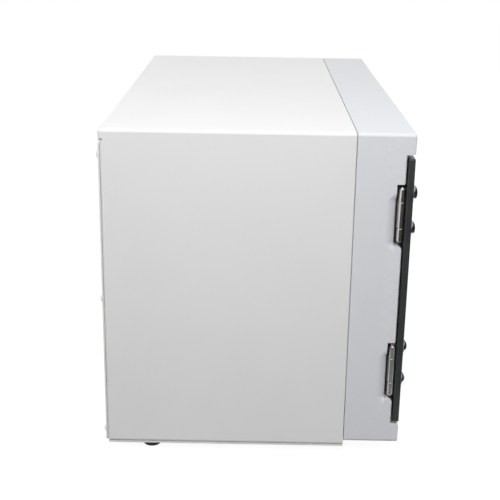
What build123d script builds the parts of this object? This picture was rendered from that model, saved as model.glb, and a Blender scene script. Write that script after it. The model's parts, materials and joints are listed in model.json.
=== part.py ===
from build123d import *
import os

# Bench-top ultraviolet sterilizer cabinet: a folded sheet casing, a moulded front bezel, a steel
# chamber with a germicidal lamp, and a side-hung tinted door. Millimetres, +Z up. The front faces
# -Y and the hinges are at -X. The origin is on the floor, under the middle of the bounding box.

# Overall sizes
CASE_W = 420.0
CASE_H = 250.0
CASE_D = 230.0
BEZEL_D = 42.5

# Sheet metal casing
SHEET = 1.2
BEND_R = 2.5
FOLD_R = 0.8
HEM_W = 12.0
HEM_T = 1.0
BOTTOM_FLANGE = 11.0
REAR_FLANGE = 13.0
LIP_H = 7.0
RELIEF = 1.0
SEAM_GAP = 0.4
PANEL_GAP = 0.6

# Base and feet
BASE_T = 1.5
BASE_INSET = 1.0
BASE_UPTURN = 17.0
FOOT_H = 6.5
FOOT_TOP_R = 10.0
FOOT_END_R = 7.0
FOOT_SIDE_REAR = 14.0
FOOT_SIDE_FRONT = 60.0
FOOT_REAR_Y = 35.0
FOOT_FRONT_Y = 65.0
FOOT_EDGE = 1.5
FOOT_HOLLOW_R = 3.8
FOOT_HOLLOW_H = 2.9

# Back panel
BACK_T = 1.2
VENT_W = 3.0
VENT_H = 40.0
VENT_PITCH = 9.0
VENT_COUNT = 10

# Screws
M3_R = 1.5
M4_R = 2.0
PAN_R = 2.9
PAN_H = 2.2
SCREW_LEN = 8.0
SIDE_SCREW_IN = 6.5
BACK_SCREW_LOW = 8.3
BACK_SCREW_MID = 118.0
BACK_SCREW_TOP_IN = 20.0

# Front bezel
WALL = 2.5
SKIN = 3.0
BEZEL_LIFT = 3.3
BEZEL_EDGE_R = 1.2
SPIGOT = 12.0
SPIGOT_GAP = 0.3
RECESS_D = 6.2
RECESS_BOTTOM = 19.3
RECESS_TOP = 15.6
RECESS_EDGE_R = 1.3
LIP_EDGE_R = 2.0
RIM_D = 8.0
BEZEL_SCREW_IN = 84.0
BOSS_R = 3.9

# Hinge notches in the bezel's side wall
NOTCH_D = 12.3
NOTCH_H = 47.3
NOTCH_LEN = 26.0
NOTCH_CORNER_R = 3.5
ROLL_DEPTH = 4.0
ROLL_W = 7.2
ROLL_TOP = 5.0
ROLL_TOP_END = 7.0
ROLL_LOW = 2.0
ROLL_END = 8.0

# Door
DOOR_T = 5.0
DOOR_GAP_TOP = 2.8
DOOR_GAP_BOTTOM = 1.8
DOOR_GAP_SIDE = 1.0
DOOR_CORNER_R = 0.9
DOOR_EDGE_R = 0.6
LATCH_LEDGE = 22.0
LATCH_OFFSET = 15.5
BUMPER_W = 6.0

# Hinges
HINGE_H = 40.0
HINGE_TOP_IN = 61.1
HINGE_BOTTOM_IN = 64.3
BARREL_R = 2.6
BARREL_IN = 0.05
LEAF_T = 1.0
LEAF_LEN = 21.0
LEAF_GAP = 0.5
KNUCKLE = 10.0
KNUCKLE_GAP = 0.15
PAD_T = 0.5
PIN_R = 1.3
PIN_FIT = 0.05
PIN_HEAD_R = 1.9
PIN_HEAD_H = 0.8
BOLT_IN = 15.0
BOLT_SPACING = 27.5
BOLT_DOME_R = 7.75
BOLT_DOME_H = 5.0
BOLT_RIM_H = 1.0
NUT_R = 3.6
NUT_T = 2.2
BOLT_END = 0.5

# Door knob
KNOB_R = 10.0
KNOB_NECK_R = 5.5
KNOB_REACH = 22.0
KNOB_FOOT_R = 8.0
KNOB_FOOT_T = 1.5
KNOB_FLARE = 2.0
KNOB_HEAD = 10.0
KNOB_ROUND = 2.5
KNOB_IN = 22.0
COUNTERSINK_R = 4.0

# Chamber
BAY_W = 65.5
CHAMBER_FLOOR = 33.0
CHAMBER_ROOF = 29.0
CHAMBER_BEHIND = 31.3
LINER_T = 0.8
LINER_LIP = 2.0
LINER_FLANGE = 8.0
LINER_R = 3.0
LINER_SCREW_IN = 31.0
RAIL_Z = 86.0
RAIL_W = 10.0
RAIL_T = 1.2
RACK_GAP = 2.5
RACK_REST = 0.3
RACK_WIRE_R = 2.0
RACK_CROSS_R = 1.3
RACK_PITCH = 15.0
RACK_CORNER_R = 12.0
RACK_STIFFENER_IN = 58.0

# Germicidal lamp, the common 8 W tube, 16 mm across and 288 mm long, which fills the room between
# its holders
LAMP_R = 8.0
LAMP_WALL = 0.8
LAMP_CAP_LEN = 9.0
LAMP_CAP_T = 0.5
LAMP_PIN_R = 1.2
LAMP_PIN_LEN = 7.0
LAMP_PIN_SPACING = 5.0
LAMP_DROP = 22.0
LAMP_END_GAP = 0.3
HOLDER_T = 9.7
HOLDER_W = 22.0
HOLDER_BELOW = 12.0
HOLDER_R = 5.5
REFLECTOR_T = 0.6
REFLECTOR_TOP = 26.0
REFLECTOR_WING = 54.0
REFLECTOR_H = 13.0
REFLECTOR_GAP = 4.3
GUARD_R = 1.2
GUARD_W = 66.0
GUARD_DROP = 36.0
GUARD_IN = 21.5
GUARD_COUNT = 8
GUARD_BEND_R = 7.2
GUARD_WIRE_SIDE = 20.0
GUARD_END = 3.6
GUARD_LONG_R = 1.0
GUARD_WELD = 0.3

# Control panel
PANEL_W = 50.0
PANEL_H = 150.0
PANEL_T = 1.5
PANEL_TOP_IN = 47.0
PANEL_R = 3.0
PANEL_LAND = 5.0
DIAL_R = 19.0
DIAL_H = 15.0
DIAL_LIFT = 1.5
DIAL_SKIRT = 1.5
DIAL_SLOPE = 2.0
DIAL_GRIP_R = 13.7
DIAL_EDGE = 1.5
DIAL_SOCKET = 10.5
POINTER_W = 2.4
POINTER_H = 0.8
SHAFT_R = 3.0
SHAFT_FIT = 0.05
BUSH_R = 4.75
BUSH_LEN = 6.0
TIMER_W = 38.0
TIMER_D = 30.0
TIMER_NUT_R = 7.0
TIMER_NUT_T = 2.0
ROCKER_DROP = 48.0
ROCKER_W = 12.6
ROCKER_H = 19.0
ROCKER_D = 20.0
ROCKER_FLANGE = 1.3
ROCKER_WALL = 1.2
ROCKER_FIT = 0.3
ROCKER_PROUD = 2.4
ROCKER_PIVOT_R = 1.0
ROCKER_DISH = 2.0
ROCKER_SLOPE = 0.9
ROCKER_EDGE = 0.6
ROCKER_KEEL = 3.0
PILOT_RISE = 46.0
PILOT_R = 4.0
PILOT_LENS_R = 5.5
PILOT_LENS_H = 4.0
PILOT_D = 18.0
PILOT_COLLAR = 2.0
PILOT_RIM_H = 1.0

# Door interlock and catch
INTERLOCK_RISE = 30.0
PLUNGER_R = 1.5
PLUNGER_FIT = 0.08
PLUNGER_TRAVEL = 3.0
PLUNGER_TAIL = 4.0
PLUNGER_COLLAR_R = 2.4
PLUNGER_COLLAR_T = 1.0
PLUNGER_GAP = 0.2
SWITCH_W = 6.4
SWITCH_L = 20.0
SWITCH_D = 10.0
SWITCH_LEG = 3.0
CATCH_R = 4.0
CATCH_D = 8.0
CATCH_FLANGE = 1.5
STRIKER_W = 10.0
STRIKER_H = 20.0
STRIKER_T = 1.0
STRIKER_R = 1.5

# Electrics in the side bay
BALLAST_W = 38.0
BALLAST_L = 70.0
BALLAST_H = 28.0
BALLAST_EAR = 9.0
STEEL_CASE_R = 2.0
BALLAST_Y = 123.0
TERMINAL_W = 18.0
TERMINAL_L = 30.0
TERMINAL_H = 14.0
TERMINAL_WAYS = 4
TERMINAL_Y = 62.0
STARTER_R = 10.75
STARTER_H = 34.0
SOCKET_W = 26.0
SOCKET_H = 12.0
SOCKET_R = 4.0
STARTER_Y = 105.0
BAY_GAP = 3.0
STAND_W = 120.0
STAND_L = 60.0
STAND_REAR = 5.0
LOOM_R = 2.2
LOOM_BEND = 14.0

# Mains inlet and fuse on the back
INLET_IN = 42.0
INLET_Z = 42.0
INLET_FLANGE_W = 50.0
INLET_FLANGE_H = 24.0
INLET_FLANGE_T = 3.0
INLET_BODY_W = 27.6
INLET_BODY_H = 20.0
INLET_BODY_D = 20.0
INLET_SOCKET_W = 24.2
INLET_SOCKET_H = 16.6
INLET_SOCKET_D = 16.5
INLET_SOCKET_R = 2.5
INLET_SOCKET_CUT = 4.0
INLET_SCREWS = 40.0
CUTOUT_GAP = 0.4
PRONG_W = 2.0
PRONG_H = 4.0
PRONG_LEN = 13.0
PRONG_TAB = 7.0
PRONG_SIDE = 7.0
PRONG_RISE = 2.0
FUSE_RISE = 36.0
FUSE_HOLE_R = 6.2
FUSE_BODY_D = 28.0
FUSE_FLANGE_R = 8.5
FUSE_FLANGE_T = 2.0
FUSE_CAP_R = 6.5
FUSE_CAP_LEN = 7.0
FUSE_WALL = 1.2
FUSE_END = 3.0
FUSE_CAP_EDGE = 0.8
FUSE_SLOT_W = 1.4
FUSE_SLOT_D = 1.2

# How far a cutter runs past the face that it opens
OVER = 5.0

# Planes worked out from the sizes above
X_LEFT = -CASE_W / 2
X_RIGHT = CASE_W / 2
REAR_REACH = FUSE_FLANGE_T + FUSE_CAP_LEN
Y_FRONT = (KNOB_REACH - REAR_REACH - CASE_D) / 2
Y_SEAM = Y_FRONT + BEZEL_D
Y_REAR = Y_FRONT + CASE_D
Y_CASING = Y_SEAM + SEAM_GAP
Y_PANEL = Y_REAR - BACK_T
Y_FLOOR = Y_FRONT + RECESS_D
Y_NOTCH = Y_FRONT + NOTCH_D
Y_DOOR = Y_FRONT + DOOR_T
Y_RIM = Y_FLOOR + WALL + RIM_D
Z_CASE = FOOT_H + BASE_T
Z_TOP = Z_CASE + CASE_H
Z_BEZEL = Z_CASE + BEZEL_LIFT
Z_RECESS_0 = Z_CASE + RECESS_BOTTOM
Z_RECESS_1 = Z_TOP - RECESS_TOP
Z_DOOR_0 = Z_RECESS_0 + DOOR_GAP_BOTTOM
Z_DOOR_1 = Z_RECESS_1 - DOOR_GAP_TOP
HINGE_Z = {"upper": Z_TOP - HINGE_TOP_IN, "lower": Z_CASE + HINGE_BOTTOM_IN}

# The mouth runs from the notches to the latch ledge, and is a lip narrower than the chamber
RECESS_X1 = X_RIGHT - BAY_W
DOOR_X1 = RECESS_X1 - DOOR_GAP_SIDE
BAY_X = (RECESS_X1 + X_RIGHT) / 2
MOUTH_X0 = X_LEFT + NOTCH_LEN + WALL
MOUTH_X1 = RECESS_X1 - LATCH_LEDGE
CHAMBER_X0 = MOUTH_X0 - LINER_LIP
CHAMBER_X1 = MOUTH_X1 + LINER_LIP
CHAMBER_Y1 = Y_REAR - CHAMBER_BEHIND
CHAMBER_Z0 = Z_CASE + CHAMBER_FLOOR
CHAMBER_Z1 = Z_TOP - CHAMBER_ROOF
MOUTH_Z0 = CHAMBER_Z0 + LINER_LIP
MOUTH_Z1 = CHAMBER_Z1 - LINER_LIP
PANEL_CZ = Z_TOP - PANEL_TOP_IN - PANEL_H / 2
LATCH_X = MOUTH_X1 + LATCH_OFFSET
LATCH_Z = PANEL_CZ
RAIL_TOP = CHAMBER_Z0 + RAIL_Z
LAMP_CX = (CHAMBER_X0 + CHAMBER_X1) / 2
LAMP_CY = (Y_RIM + CHAMBER_Y1) / 2
LAMP_CZ = CHAMBER_Z1 - LAMP_DROP
LAMP_LEN = CHAMBER_X1 - CHAMBER_X0 - 2 * (HOLDER_T + LAMP_END_GAP)

# Hinge stack: pad, door leaf, barrel and frame leaf, from the door's back to the notch floor
HINGE_X = X_LEFT + BARREL_R + BARREL_IN
Y_LEAF_DOOR = Y_DOOR + PAD_T
HINGE_Y = Y_LEAF_DOOR + BARREL_R
Y_LEAF_FRAME = HINGE_Y + BARREL_R - LEAF_T
BOLT_X = X_LEFT + BOLT_IN


def block(x0, x1, y0, y1, z0, z1):
    """Box between two planes on each axis."""
    centre = Pos((x0 + x1) / 2, (y0 + y1) / 2, (z0 + z1) / 2)
    return centre * Box(x1 - x0, y1 - y0, z1 - z0)


def rod(radius, start, axis, length):
    """Round bar from a start point along one axis, such as (0, 1, 0)."""
    plane = Plane(origin=start, z_dir=axis)
    return plane * Cylinder(radius, length, align=(Align.CENTER, Align.CENTER, Align.MIN))


def through(radius, face, axis, depth):
    """Waste for a round hole through a thickness, past both of its faces."""
    start = tuple(at - OVER * along for at, along in zip(face, axis))
    return rod(radius, start, axis, depth + 2 * OVER)


def turned(points, origin, axis):
    """Turned solid from (radius, height) points, its heights along the axis."""
    side = Plane.XZ * Polyline(*points, close=True)
    solid = revolve(make_face(side), Axis.Z)
    return Plane(origin=origin, z_dir=axis) * solid


def group(solids):
    """Separate solids that share one node."""
    return Compound(children=list(solids))


def hexagon(radius, start, axis, height):
    """Hexagon nut blank, flat on its start plane."""
    plane = Plane(origin=start, z_dir=axis)
    return plane * extrude(RegularPolygon(radius, 6), height)


def pan_screw(face, axis, radius=M3_R, length=SCREW_LEN):
    """Pan head screw: its head stands out of the face along the axis."""
    into = tuple(-part for part in axis)
    head = turned([(0, 0), (PAN_R, 0), (PAN_R, PAN_H * 0.55), (PAN_R * 0.6, PAN_H), (0, PAN_H)], face, axis)
    return head + rod(radius, face, into, length)


# Casing


def casing_blank(inset, y_back):
    """Solid casing with its bends rounded, drawn in from the outside by an inset."""
    y_start = Y_CASING - inset
    blank = block(X_LEFT + inset, X_RIGHT - inset, y_start, y_back - inset, Z_CASE + inset, Z_TOP - inset)
    rear = blank.faces().sort_by(Axis.Y)[-1].edges()
    return fillet(blank.edges().filter_by(Axis.Y) + rear, BEND_R - inset)


def casing_shell(y_back):
    """Folded shell, open at the front, with a small round on its front fold."""
    outer = casing_blank(0, y_back)
    outer = fillet(outer.faces().sort_by(Axis.Y)[0].edges(), FOLD_R)
    return outer - casing_blank(SHEET, y_back)


def outer_casing():
    """Inverted U of folded sheet: rear lip at the top, flanges at the rear and the bottom, front hem."""
    z_lip = Z_TOP - LIP_H
    y_bend = Y_PANEL - BEND_R
    behind_lip = block(X_LEFT - OVER, X_RIGHT + OVER, y_bend, Y_REAR + OVER, z_lip - RELIEF, Z_TOP + OVER)
    lip_zone = block(X_LEFT - OVER, X_RIGHT + OVER, y_bend, Y_REAR + OVER, z_lip, Z_TOP + OVER)
    casing = (casing_shell(Y_PANEL) - behind_lip) + (casing_shell(Y_REAR) & lip_zone)
    half = CASE_W / 2
    casing -= block(REAR_FLANGE - half, half - REAR_FLANGE, y_bend, Y_REAR + OVER, Z_CASE - OVER, z_lip)
    casing -= block(BOTTOM_FLANGE - half, half - BOTTOM_FLANGE, Y_CASING - OVER, Y_REAR + OVER, Z_CASE - OVER,
                    Z_CASE + BEND_R)
    hem_y = Y_CASING + HEM_W
    hem_z0 = Z_CASE + BASE_UPTURN
    hem_z1 = Z_TOP - BEND_R
    casing += block(X_LEFT + SHEET, X_LEFT + SHEET + HEM_T, Y_CASING + FOLD_R, hem_y, hem_z0, hem_z1)
    casing += block(X_RIGHT - SHEET - HEM_T, X_RIGHT - SHEET, Y_CASING + FOLD_R, hem_y, hem_z0, hem_z1)
    casing += block(X_LEFT + BEND_R + HEM_T, X_RIGHT - BEND_R - HEM_T, Y_CASING + FOLD_R, hem_y,
                    Z_TOP - SHEET - HEM_T, Z_TOP - SHEET)
    for place in back_screw_places():
        casing -= rod(M3_R, (place[0], Y_REAR + OVER, place[1]), (0, -1, 0), SCREW_LEN + OVER)
    for place in base_screw_places():
        casing -= rod(M3_R, (place[0], place[1], FOOT_H - OVER), (0, 0, 1), SCREW_LEN + OVER)
    return casing


def back_screw_places():
    """X and Z of each back panel screw."""
    sides = (X_LEFT + SIDE_SCREW_IN, X_RIGHT - SIDE_SCREW_IN)
    rows = (Z_CASE + BACK_SCREW_LOW, Z_CASE + BACK_SCREW_MID, Z_TOP - BACK_SCREW_TOP_IN)
    return [(x, z) for x in sides for z in rows]


def base_screw_places():
    """X and Y of each base plate screw, clear of the feet."""
    sides = (X_LEFT + SIDE_SCREW_IN, X_RIGHT - SIDE_SCREW_IN)
    rear = Y_REAR - FOOT_REAR_Y
    rows = (Y_SEAM + HEM_W * 2, (Y_SEAM + rear) / 2, rear + FOOT_TOP_R + PAN_R * 2)
    return [(x, y) for x in sides for y in rows]


def back_panel_screws():
    """Pan head screws down both rear flanges."""
    return group(pan_screw((x, Y_REAR, z), (0, 1, 0)) for x, z in back_screw_places())


def base_plate_screws():
    """Pan head screws up through the base plate into the casing's bottom flanges."""
    return group(pan_screw((x, y, FOOT_H), (0, 0, -1)) for x, y in base_screw_places())


def foot_places():
    """X and Y of each foot: the front pair stands further in."""
    rear = Y_REAR - FOOT_REAR_Y
    front = Y_FRONT + FOOT_FRONT_Y
    places = [(X_LEFT + FOOT_SIDE_REAR, rear), (X_RIGHT - FOOT_SIDE_REAR, rear)]
    return places + [(X_LEFT + FOOT_SIDE_FRONT, front), (X_RIGHT - FOOT_SIDE_FRONT, front)]


def base_plate():
    """Flat plate under the casing with a front upturn that takes the bezel screws."""
    edge = CASE_W / 2 - BASE_INSET
    y0 = Y_SEAM + SEAM_GAP
    plate = block(-edge, edge, y0, Y_PANEL - PANEL_GAP, FOOT_H, Z_CASE)
    inner = CASE_W / 2 - BOTTOM_FLANGE - PANEL_GAP
    plate += block(-inner, inner, y0, y0 + BASE_T, FOOT_H, Z_CASE + BASE_UPTURN)
    for x, y in foot_places():
        plate -= rod(M3_R, (x, y, 0), (0, 0, 1), Z_CASE * 2)
    for x, y in base_screw_places():
        plate -= rod(M3_R, (x, y, 0), (0, 0, 1), Z_CASE * 2)
    for x in bezel_screw_x():
        plate -= rod(M3_R, (x, y0 - BASE_T, bezel_screw_z()), (0, 1, 0), BASE_T * 3)
    for row in range(VENT_COUNT):
        y = y0 + VENT_H + row * VENT_PITCH
        plate -= block(-VENT_H / 2, VENT_H / 2, y, y + VENT_W, 0, Z_CASE * 2)
    return plate


def bezel_screw_x():
    """X of the two screws through the base plate's upturn."""
    return (X_LEFT + BEZEL_SCREW_IN, X_RIGHT - BEZEL_SCREW_IN)


def bezel_screw_z():
    """Height of the bezel screws, in the middle of their bosses."""
    return Z_BEZEL + WALL + PAN_R


def bezel_screws():
    """Two screws from behind the upturn into the bezel's bosses."""
    face = Y_SEAM + SEAM_GAP + BASE_T
    return group(pan_screw((x, face, bezel_screw_z()), (0, 1, 0)) for x in bezel_screw_x())


def feet():
    """Four round rubber feet, hollow under for their screw heads."""
    edge = FOOT_EDGE
    profile = [(M3_R, FOOT_HOLLOW_H), (FOOT_HOLLOW_R, FOOT_HOLLOW_H), (FOOT_HOLLOW_R, 0),
               (FOOT_END_R - edge, 0), (FOOT_END_R, edge), (FOOT_TOP_R, FOOT_H - edge), (FOOT_TOP_R, FOOT_H),
               (M3_R, FOOT_H)]
    return group(turned(profile, (x, y, 0), (0, 0, 1)) for x, y in foot_places())


def foot_screws():
    """One screw up through each foot, its head inside the foot's hollow."""
    face = FOOT_HOLLOW_H
    length = Z_CASE - face + BASE_T * 2
    return group(pan_screw((x, y, face), (0, 0, -1), M3_R, length) for x, y in foot_places())


def back_panel():
    """Flat rear cover on the casing's rear flanges, with vents, the inlet and the fuse holder."""
    edge = CASE_W / 2 - PANEL_GAP
    z0 = Z_CASE + PANEL_GAP
    z1 = Z_TOP - LIP_H - RELIEF
    plate = block(-edge, edge, Y_PANEL, Y_REAR, z0, z1)
    plate = fillet(plate.edges().filter_by(Axis.Y), PANEL_R)
    for x, z in back_screw_places():
        plate -= rod(M3_R, (x, Y_PANEL - OVER, z), (0, 1, 0), BACK_T + 2 * OVER)
    for side in (-1, 1):
        for column in range(VENT_COUNT):
            x = side * (VENT_H + column * VENT_PITCH)
            z = z1 - VENT_H / 2
            plate -= block(x - VENT_W / 2, x + VENT_W / 2, Y_PANEL - OVER, Y_REAR + OVER, z - VENT_H, z)
    x = inlet_x()
    z = Z_CASE + INLET_Z
    wide = INLET_BODY_W / 2 + CUTOUT_GAP
    tall = INLET_BODY_H / 2 + CUTOUT_GAP
    plate -= block(x - wide, x + wide, Y_PANEL - OVER, Y_REAR + OVER, z - tall, z + tall)
    for side in (-1, 1):
        start = (x + side * INLET_SCREWS / 2, Y_PANEL - OVER, z)
        plate -= rod(M3_R, start, (0, 1, 0), BACK_T + 2 * OVER)
    return plate - rod(FUSE_HOLE_R, (x, Y_PANEL - OVER, z + FUSE_RISE), (0, 1, 0), BACK_T + 2 * OVER)


def inlet_x():
    """Middle of the mains inlet, in from the right side."""
    return X_RIGHT - INLET_IN


# Bezel


def edge_round(radius, x0, x1, y, z, down):
    """Waste for rounding a front edge that runs along X. The material lies behind it."""
    sign = -1 if down else 1
    z_in = z + sign * radius
    corner = block(x0, x1, y, y + radius, min(z, z_in), max(z, z_in))
    return corner - through(radius, (x0, y + radius, z_in), (1, 0, 0), x1 - x0)


def rolled_edge(z_centre):
    """Waste for the side wall's soft roll into the back of a notch, its ends slanting out of the wall."""
    z0 = z_centre - NOTCH_H / 2 + ROLL_LOW
    z1 = z_centre + NOTCH_H / 2 - ROLL_TOP - ROLL_TOP_END
    arc = TangentArc((ROLL_W, 0), (0, ROLL_DEPTH), tangent=(-1, 0))
    section = make_face(arc + Polyline((ROLL_W, 0), (0, 0), (0, ROLL_DEPTH)))
    straight = extrude(section, z1 - z0)
    up = Vector(-ROLL_W, 0, -ROLL_TOP_END)
    down = Vector(-ROLL_W, 0, ROLL_END)
    top_end = extrude(section, up.length, dir=up)
    low_end = extrude(section, down.length, dir=down)
    waste = straight + top_end + Pos(0, 0, z1 - z0) * low_end
    waste = Plane(origin=(X_LEFT, Y_NOTCH, z1), x_dir=(0, 1, 0), z_dir=(0, 0, -1)) * waste
    return waste & block(X_LEFT, X_LEFT + WALL * 3, Y_NOTCH, Y_NOTCH + ROLL_W * 2, Z_CASE, Z_TOP)


def bezel_body():
    """Hollow moulding, open at the back, with its recess floor, mouth rim and notch pockets added."""
    outer = block(X_LEFT, X_RIGHT, Y_FRONT, Y_SEAM, Z_BEZEL, Z_TOP)
    outer = fillet(outer.edges().filter_by(Axis.Y), BEND_R)
    outer = fillet(outer.faces().sort_by(Axis.Y)[0].edges(), BEZEL_EDGE_R)
    outer = fillet(outer.faces().sort_by(Axis.Y)[-1].edges(), SEAM_GAP)
    body = outer - block(X_LEFT + WALL, X_RIGHT - WALL, Y_FRONT + SKIN, Y_SEAM + OVER, Z_BEZEL + WALL,
                         Z_TOP - WALL)
    body += block(X_LEFT + WALL / 2, RECESS_X1 + WALL, Y_FRONT + WALL, Y_FLOOR + WALL, Z_RECESS_0 - WALL,
                  Z_RECESS_1 + WALL)
    body += block(MOUTH_X0 - WALL, MOUTH_X1 + WALL, Y_FLOOR, Y_RIM, MOUTH_Z0 - WALL, MOUTH_Z1 + WALL)
    for z in HINGE_Z.values():
        low = z - NOTCH_H / 2 - WALL
        high = z + NOTCH_H / 2 + WALL
        body += block(X_LEFT + WALL / 2, X_LEFT + NOTCH_LEN + WALL, Y_FLOOR, Y_NOTCH + WALL, low, high)
        body += block(X_LEFT + WALL / 2, X_LEFT + ROLL_DEPTH + WALL, Y_NOTCH, Y_NOTCH + ROLL_W + WALL,
                      low - ROLL_END, high)
    return body


def bezel_spigot():
    """Rim behind the bezel that slips inside the casing's hem on the sides and the top."""
    out = SHEET + HEM_T + SPIGOT_GAP
    root = Y_SEAM - SPIGOT / 2
    tip = Y_SEAM + SPIGOT
    z0 = Z_CASE + BASE_UPTURN + WALL
    frame = block(X_LEFT + out, X_RIGHT - out, root, tip, z0, Z_TOP - out)
    frame += block(X_LEFT + WALL / 2, X_RIGHT - WALL / 2, root, Y_SEAM - WALL / 2, z0, Z_TOP - WALL / 2)
    inner = block(X_LEFT + out + WALL, X_RIGHT - out - WALL, root - OVER, tip + OVER, z0 - OVER,
                  Z_TOP - out - WALL)
    return frame - inner


def recess_cut():
    """Waste for the door recess, open at the hinged side, with a round inner corner."""
    cut = block(X_LEFT - OVER, RECESS_X1, Y_FRONT - OVER, Y_FLOOR, Z_RECESS_0, Z_RECESS_1)
    right = cut.edges().filter_by(Axis.Y).group_by(Axis.X)[-1]
    cut = fillet(right, DOOR_CORNER_R)
    for z, down in ((Z_RECESS_0, True), (Z_RECESS_1, False)):
        cut += edge_round(LIP_EDGE_R, X_LEFT - OVER, RECESS_X1 - DOOR_CORNER_R, Y_FRONT, z, down)
    return cut


def side_edge_cut():
    """Waste for rounding the recess's open side edge, so that the door's back clears it."""
    radius = RECESS_EDGE_R
    corner = block(X_LEFT, X_LEFT + radius, Y_FLOOR, Y_FLOOR + radius, Z_RECESS_0, Z_RECESS_1)
    start = (X_LEFT + radius, Y_FLOOR + radius, Z_RECESS_0)
    return corner - through(radius, start, (0, 0, 1), Z_RECESS_1 - Z_RECESS_0)


def front_bezel():
    """Moulded front: door recess, chamber mouth, hinge notches, control panel seat and screw bosses."""
    body = bezel_body() + bezel_spigot()
    for x in bezel_screw_x():
        body += rod(BOSS_R, (x, Y_SEAM, bezel_screw_z()), (0, -1, 0), SCREW_LEN + WALL)
    for x, z in liner_screw_places():
        body += rod(PAN_R, (x, Y_FLOOR + WALL, z), (0, 1, 0), Y_RIM - Y_FLOOR - WALL)
    body -= recess_cut()
    body -= side_edge_cut()
    body -= block(MOUTH_X0, MOUTH_X1, Y_FRONT, Y_RIM + OVER, MOUTH_Z0, MOUTH_Z1)
    for z in HINGE_Z.values():
        low = z - NOTCH_H / 2
        high = z + NOTCH_H / 2
        body -= block(X_LEFT - OVER, X_LEFT + NOTCH_LEN, Y_FRONT, Y_NOTCH, low, high)
        body -= edge_round(NOTCH_CORNER_R, X_LEFT - OVER, X_LEFT + NOTCH_LEN, Y_FLOOR, low, True)
        body -= edge_round(BEZEL_EDGE_R, X_LEFT - OVER, X_LEFT + NOTCH_LEN, Y_FLOOR, high, False)
        body -= rolled_edge(z)
        for x, z_screw in hinge_bolt_places(z):
            body -= through(M3_R, (x, Y_NOTCH, z_screw), (0, 1, 0), WALL)
    for x, z in liner_screw_places():
        body -= rod(M3_R, (x, Y_FLOOR + WALL, z), (0, 1, 0), RIM_D + OVER)
    for x in bezel_screw_x():
        body -= rod(M3_R, (x, Y_SEAM + OVER, bezel_screw_z()), (0, -1, 0), SCREW_LEN + OVER)
    body -= through(PLUNGER_R + PLUNGER_FIT, (LATCH_X, Y_FLOOR, plunger_z()), (0, 1, 0), WALL)
    body -= through(CATCH_R, (LATCH_X, Y_FLOOR, LATCH_Z), (0, 1, 0), WALL)
    return body - panel_seat()


def panel_seat():
    """Waste for the control panel: a shallow seat and the window behind it."""
    z = PANEL_CZ
    half_w = PANEL_W / 2
    half_h = PANEL_H / 2
    seat = block(BAY_X - half_w, BAY_X + half_w, Y_FRONT - OVER, Y_FRONT + PANEL_T, z - half_h, z + half_h)
    seat = fillet(seat.edges().filter_by(Axis.Y), PANEL_R)
    half_w -= PANEL_LAND
    half_h -= PANEL_LAND * 2
    seat += block(BAY_X - half_w, BAY_X + half_w, Y_FRONT, Y_FRONT + SKIN + OVER, z - half_h, z + half_h)
    for x, z_screw in panel_screw_places():
        seat += rod(M3_R, (x, Y_FRONT, z_screw), (0, 1, 0), SKIN + OVER)
    return seat


# Chamber


def liner_screw_places():
    """X and Z of the screws that hold the liner's flange to the bezel, above and below the mouth."""
    reach = LINER_T + LINER_LIP + LINER_FLANGE / 2
    xs = (CHAMBER_X0 + LINER_SCREW_IN, LAMP_CX, CHAMBER_X1 - LINER_SCREW_IN)
    return [(x, z) for x in xs for z in (MOUTH_Z0 - reach, MOUTH_Z1 + reach)]


def chamber_liner():
    """Stainless box, open at the front, with a flange against the back of the bezel's mouth rim."""
    t = LINER_T
    outer = block(CHAMBER_X0 - t, CHAMBER_X1 + t, Y_RIM, CHAMBER_Y1 + t, CHAMBER_Z0 - t, CHAMBER_Z1 + t)
    outer = fillet(outer.edges().filter_by(Axis.Y), LINER_R + t)
    reach = t + LINER_FLANGE
    outer += block(CHAMBER_X0 - reach, CHAMBER_X1 + reach, Y_RIM, Y_RIM + t, CHAMBER_Z0 - reach,
                   CHAMBER_Z1 + reach)
    inner = block(CHAMBER_X0, CHAMBER_X1, Y_RIM - OVER, CHAMBER_Y1, CHAMBER_Z0, CHAMBER_Z1)
    liner = outer - fillet(inner.edges().filter_by(Axis.Y), LINER_R)
    for x, z in liner_screw_places():
        liner -= through(M3_R, (x, Y_RIM, z), (0, 1, 0), t)
    return liner


def liner_screws():
    """Screws through the liner's flange into the bezel's bosses."""
    places = liner_screw_places()
    return group(pan_screw((x, Y_RIM + LINER_T, z), (0, 1, 0)) for x, z in places)


def liner_stand():
    """Folded stand between the base plate and the chamber's floor, towards the back."""
    y0 = CHAMBER_Y1 - STAND_REAR - STAND_L
    top = CHAMBER_Z0 - LINER_T
    half = STAND_W / 2
    stand = block(LAMP_CX - half, LAMP_CX + half, y0, y0 + STAND_L, Z_CASE, top)
    stand -= block(LAMP_CX - half + SHEET, LAMP_CX + half - SHEET, y0 - OVER, y0 + STAND_L + OVER,
                   Z_CASE - OVER, top - SHEET)
    for side in (-1, 1):
        x = LAMP_CX + side * (half + REAR_FLANGE / 2 - SHEET / 2)
        stand += block(x - REAR_FLANGE / 2, x + REAR_FLANGE / 2, y0, y0 + STAND_L, Z_CASE, Z_CASE + SHEET)
    return stand


def rack_rails():
    """An angle on each side wall that carries the rack."""
    y0 = Y_RIM + RACK_GAP
    y1 = CHAMBER_Y1 - RACK_GAP
    rails = []
    for wall, side in ((CHAMBER_X0, 1), (CHAMBER_X1, -1)):
        tip = wall + side * RAIL_W
        web = wall + side * RAIL_T
        ledge = block(min(wall, tip), max(wall, tip), y0, y1, RAIL_TOP - RAIL_T, RAIL_TOP)
        rails.append(ledge + block(min(wall, web), max(wall, web), y0, y1, RAIL_TOP - RAIL_W, RAIL_TOP))
    return group(rails)


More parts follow.
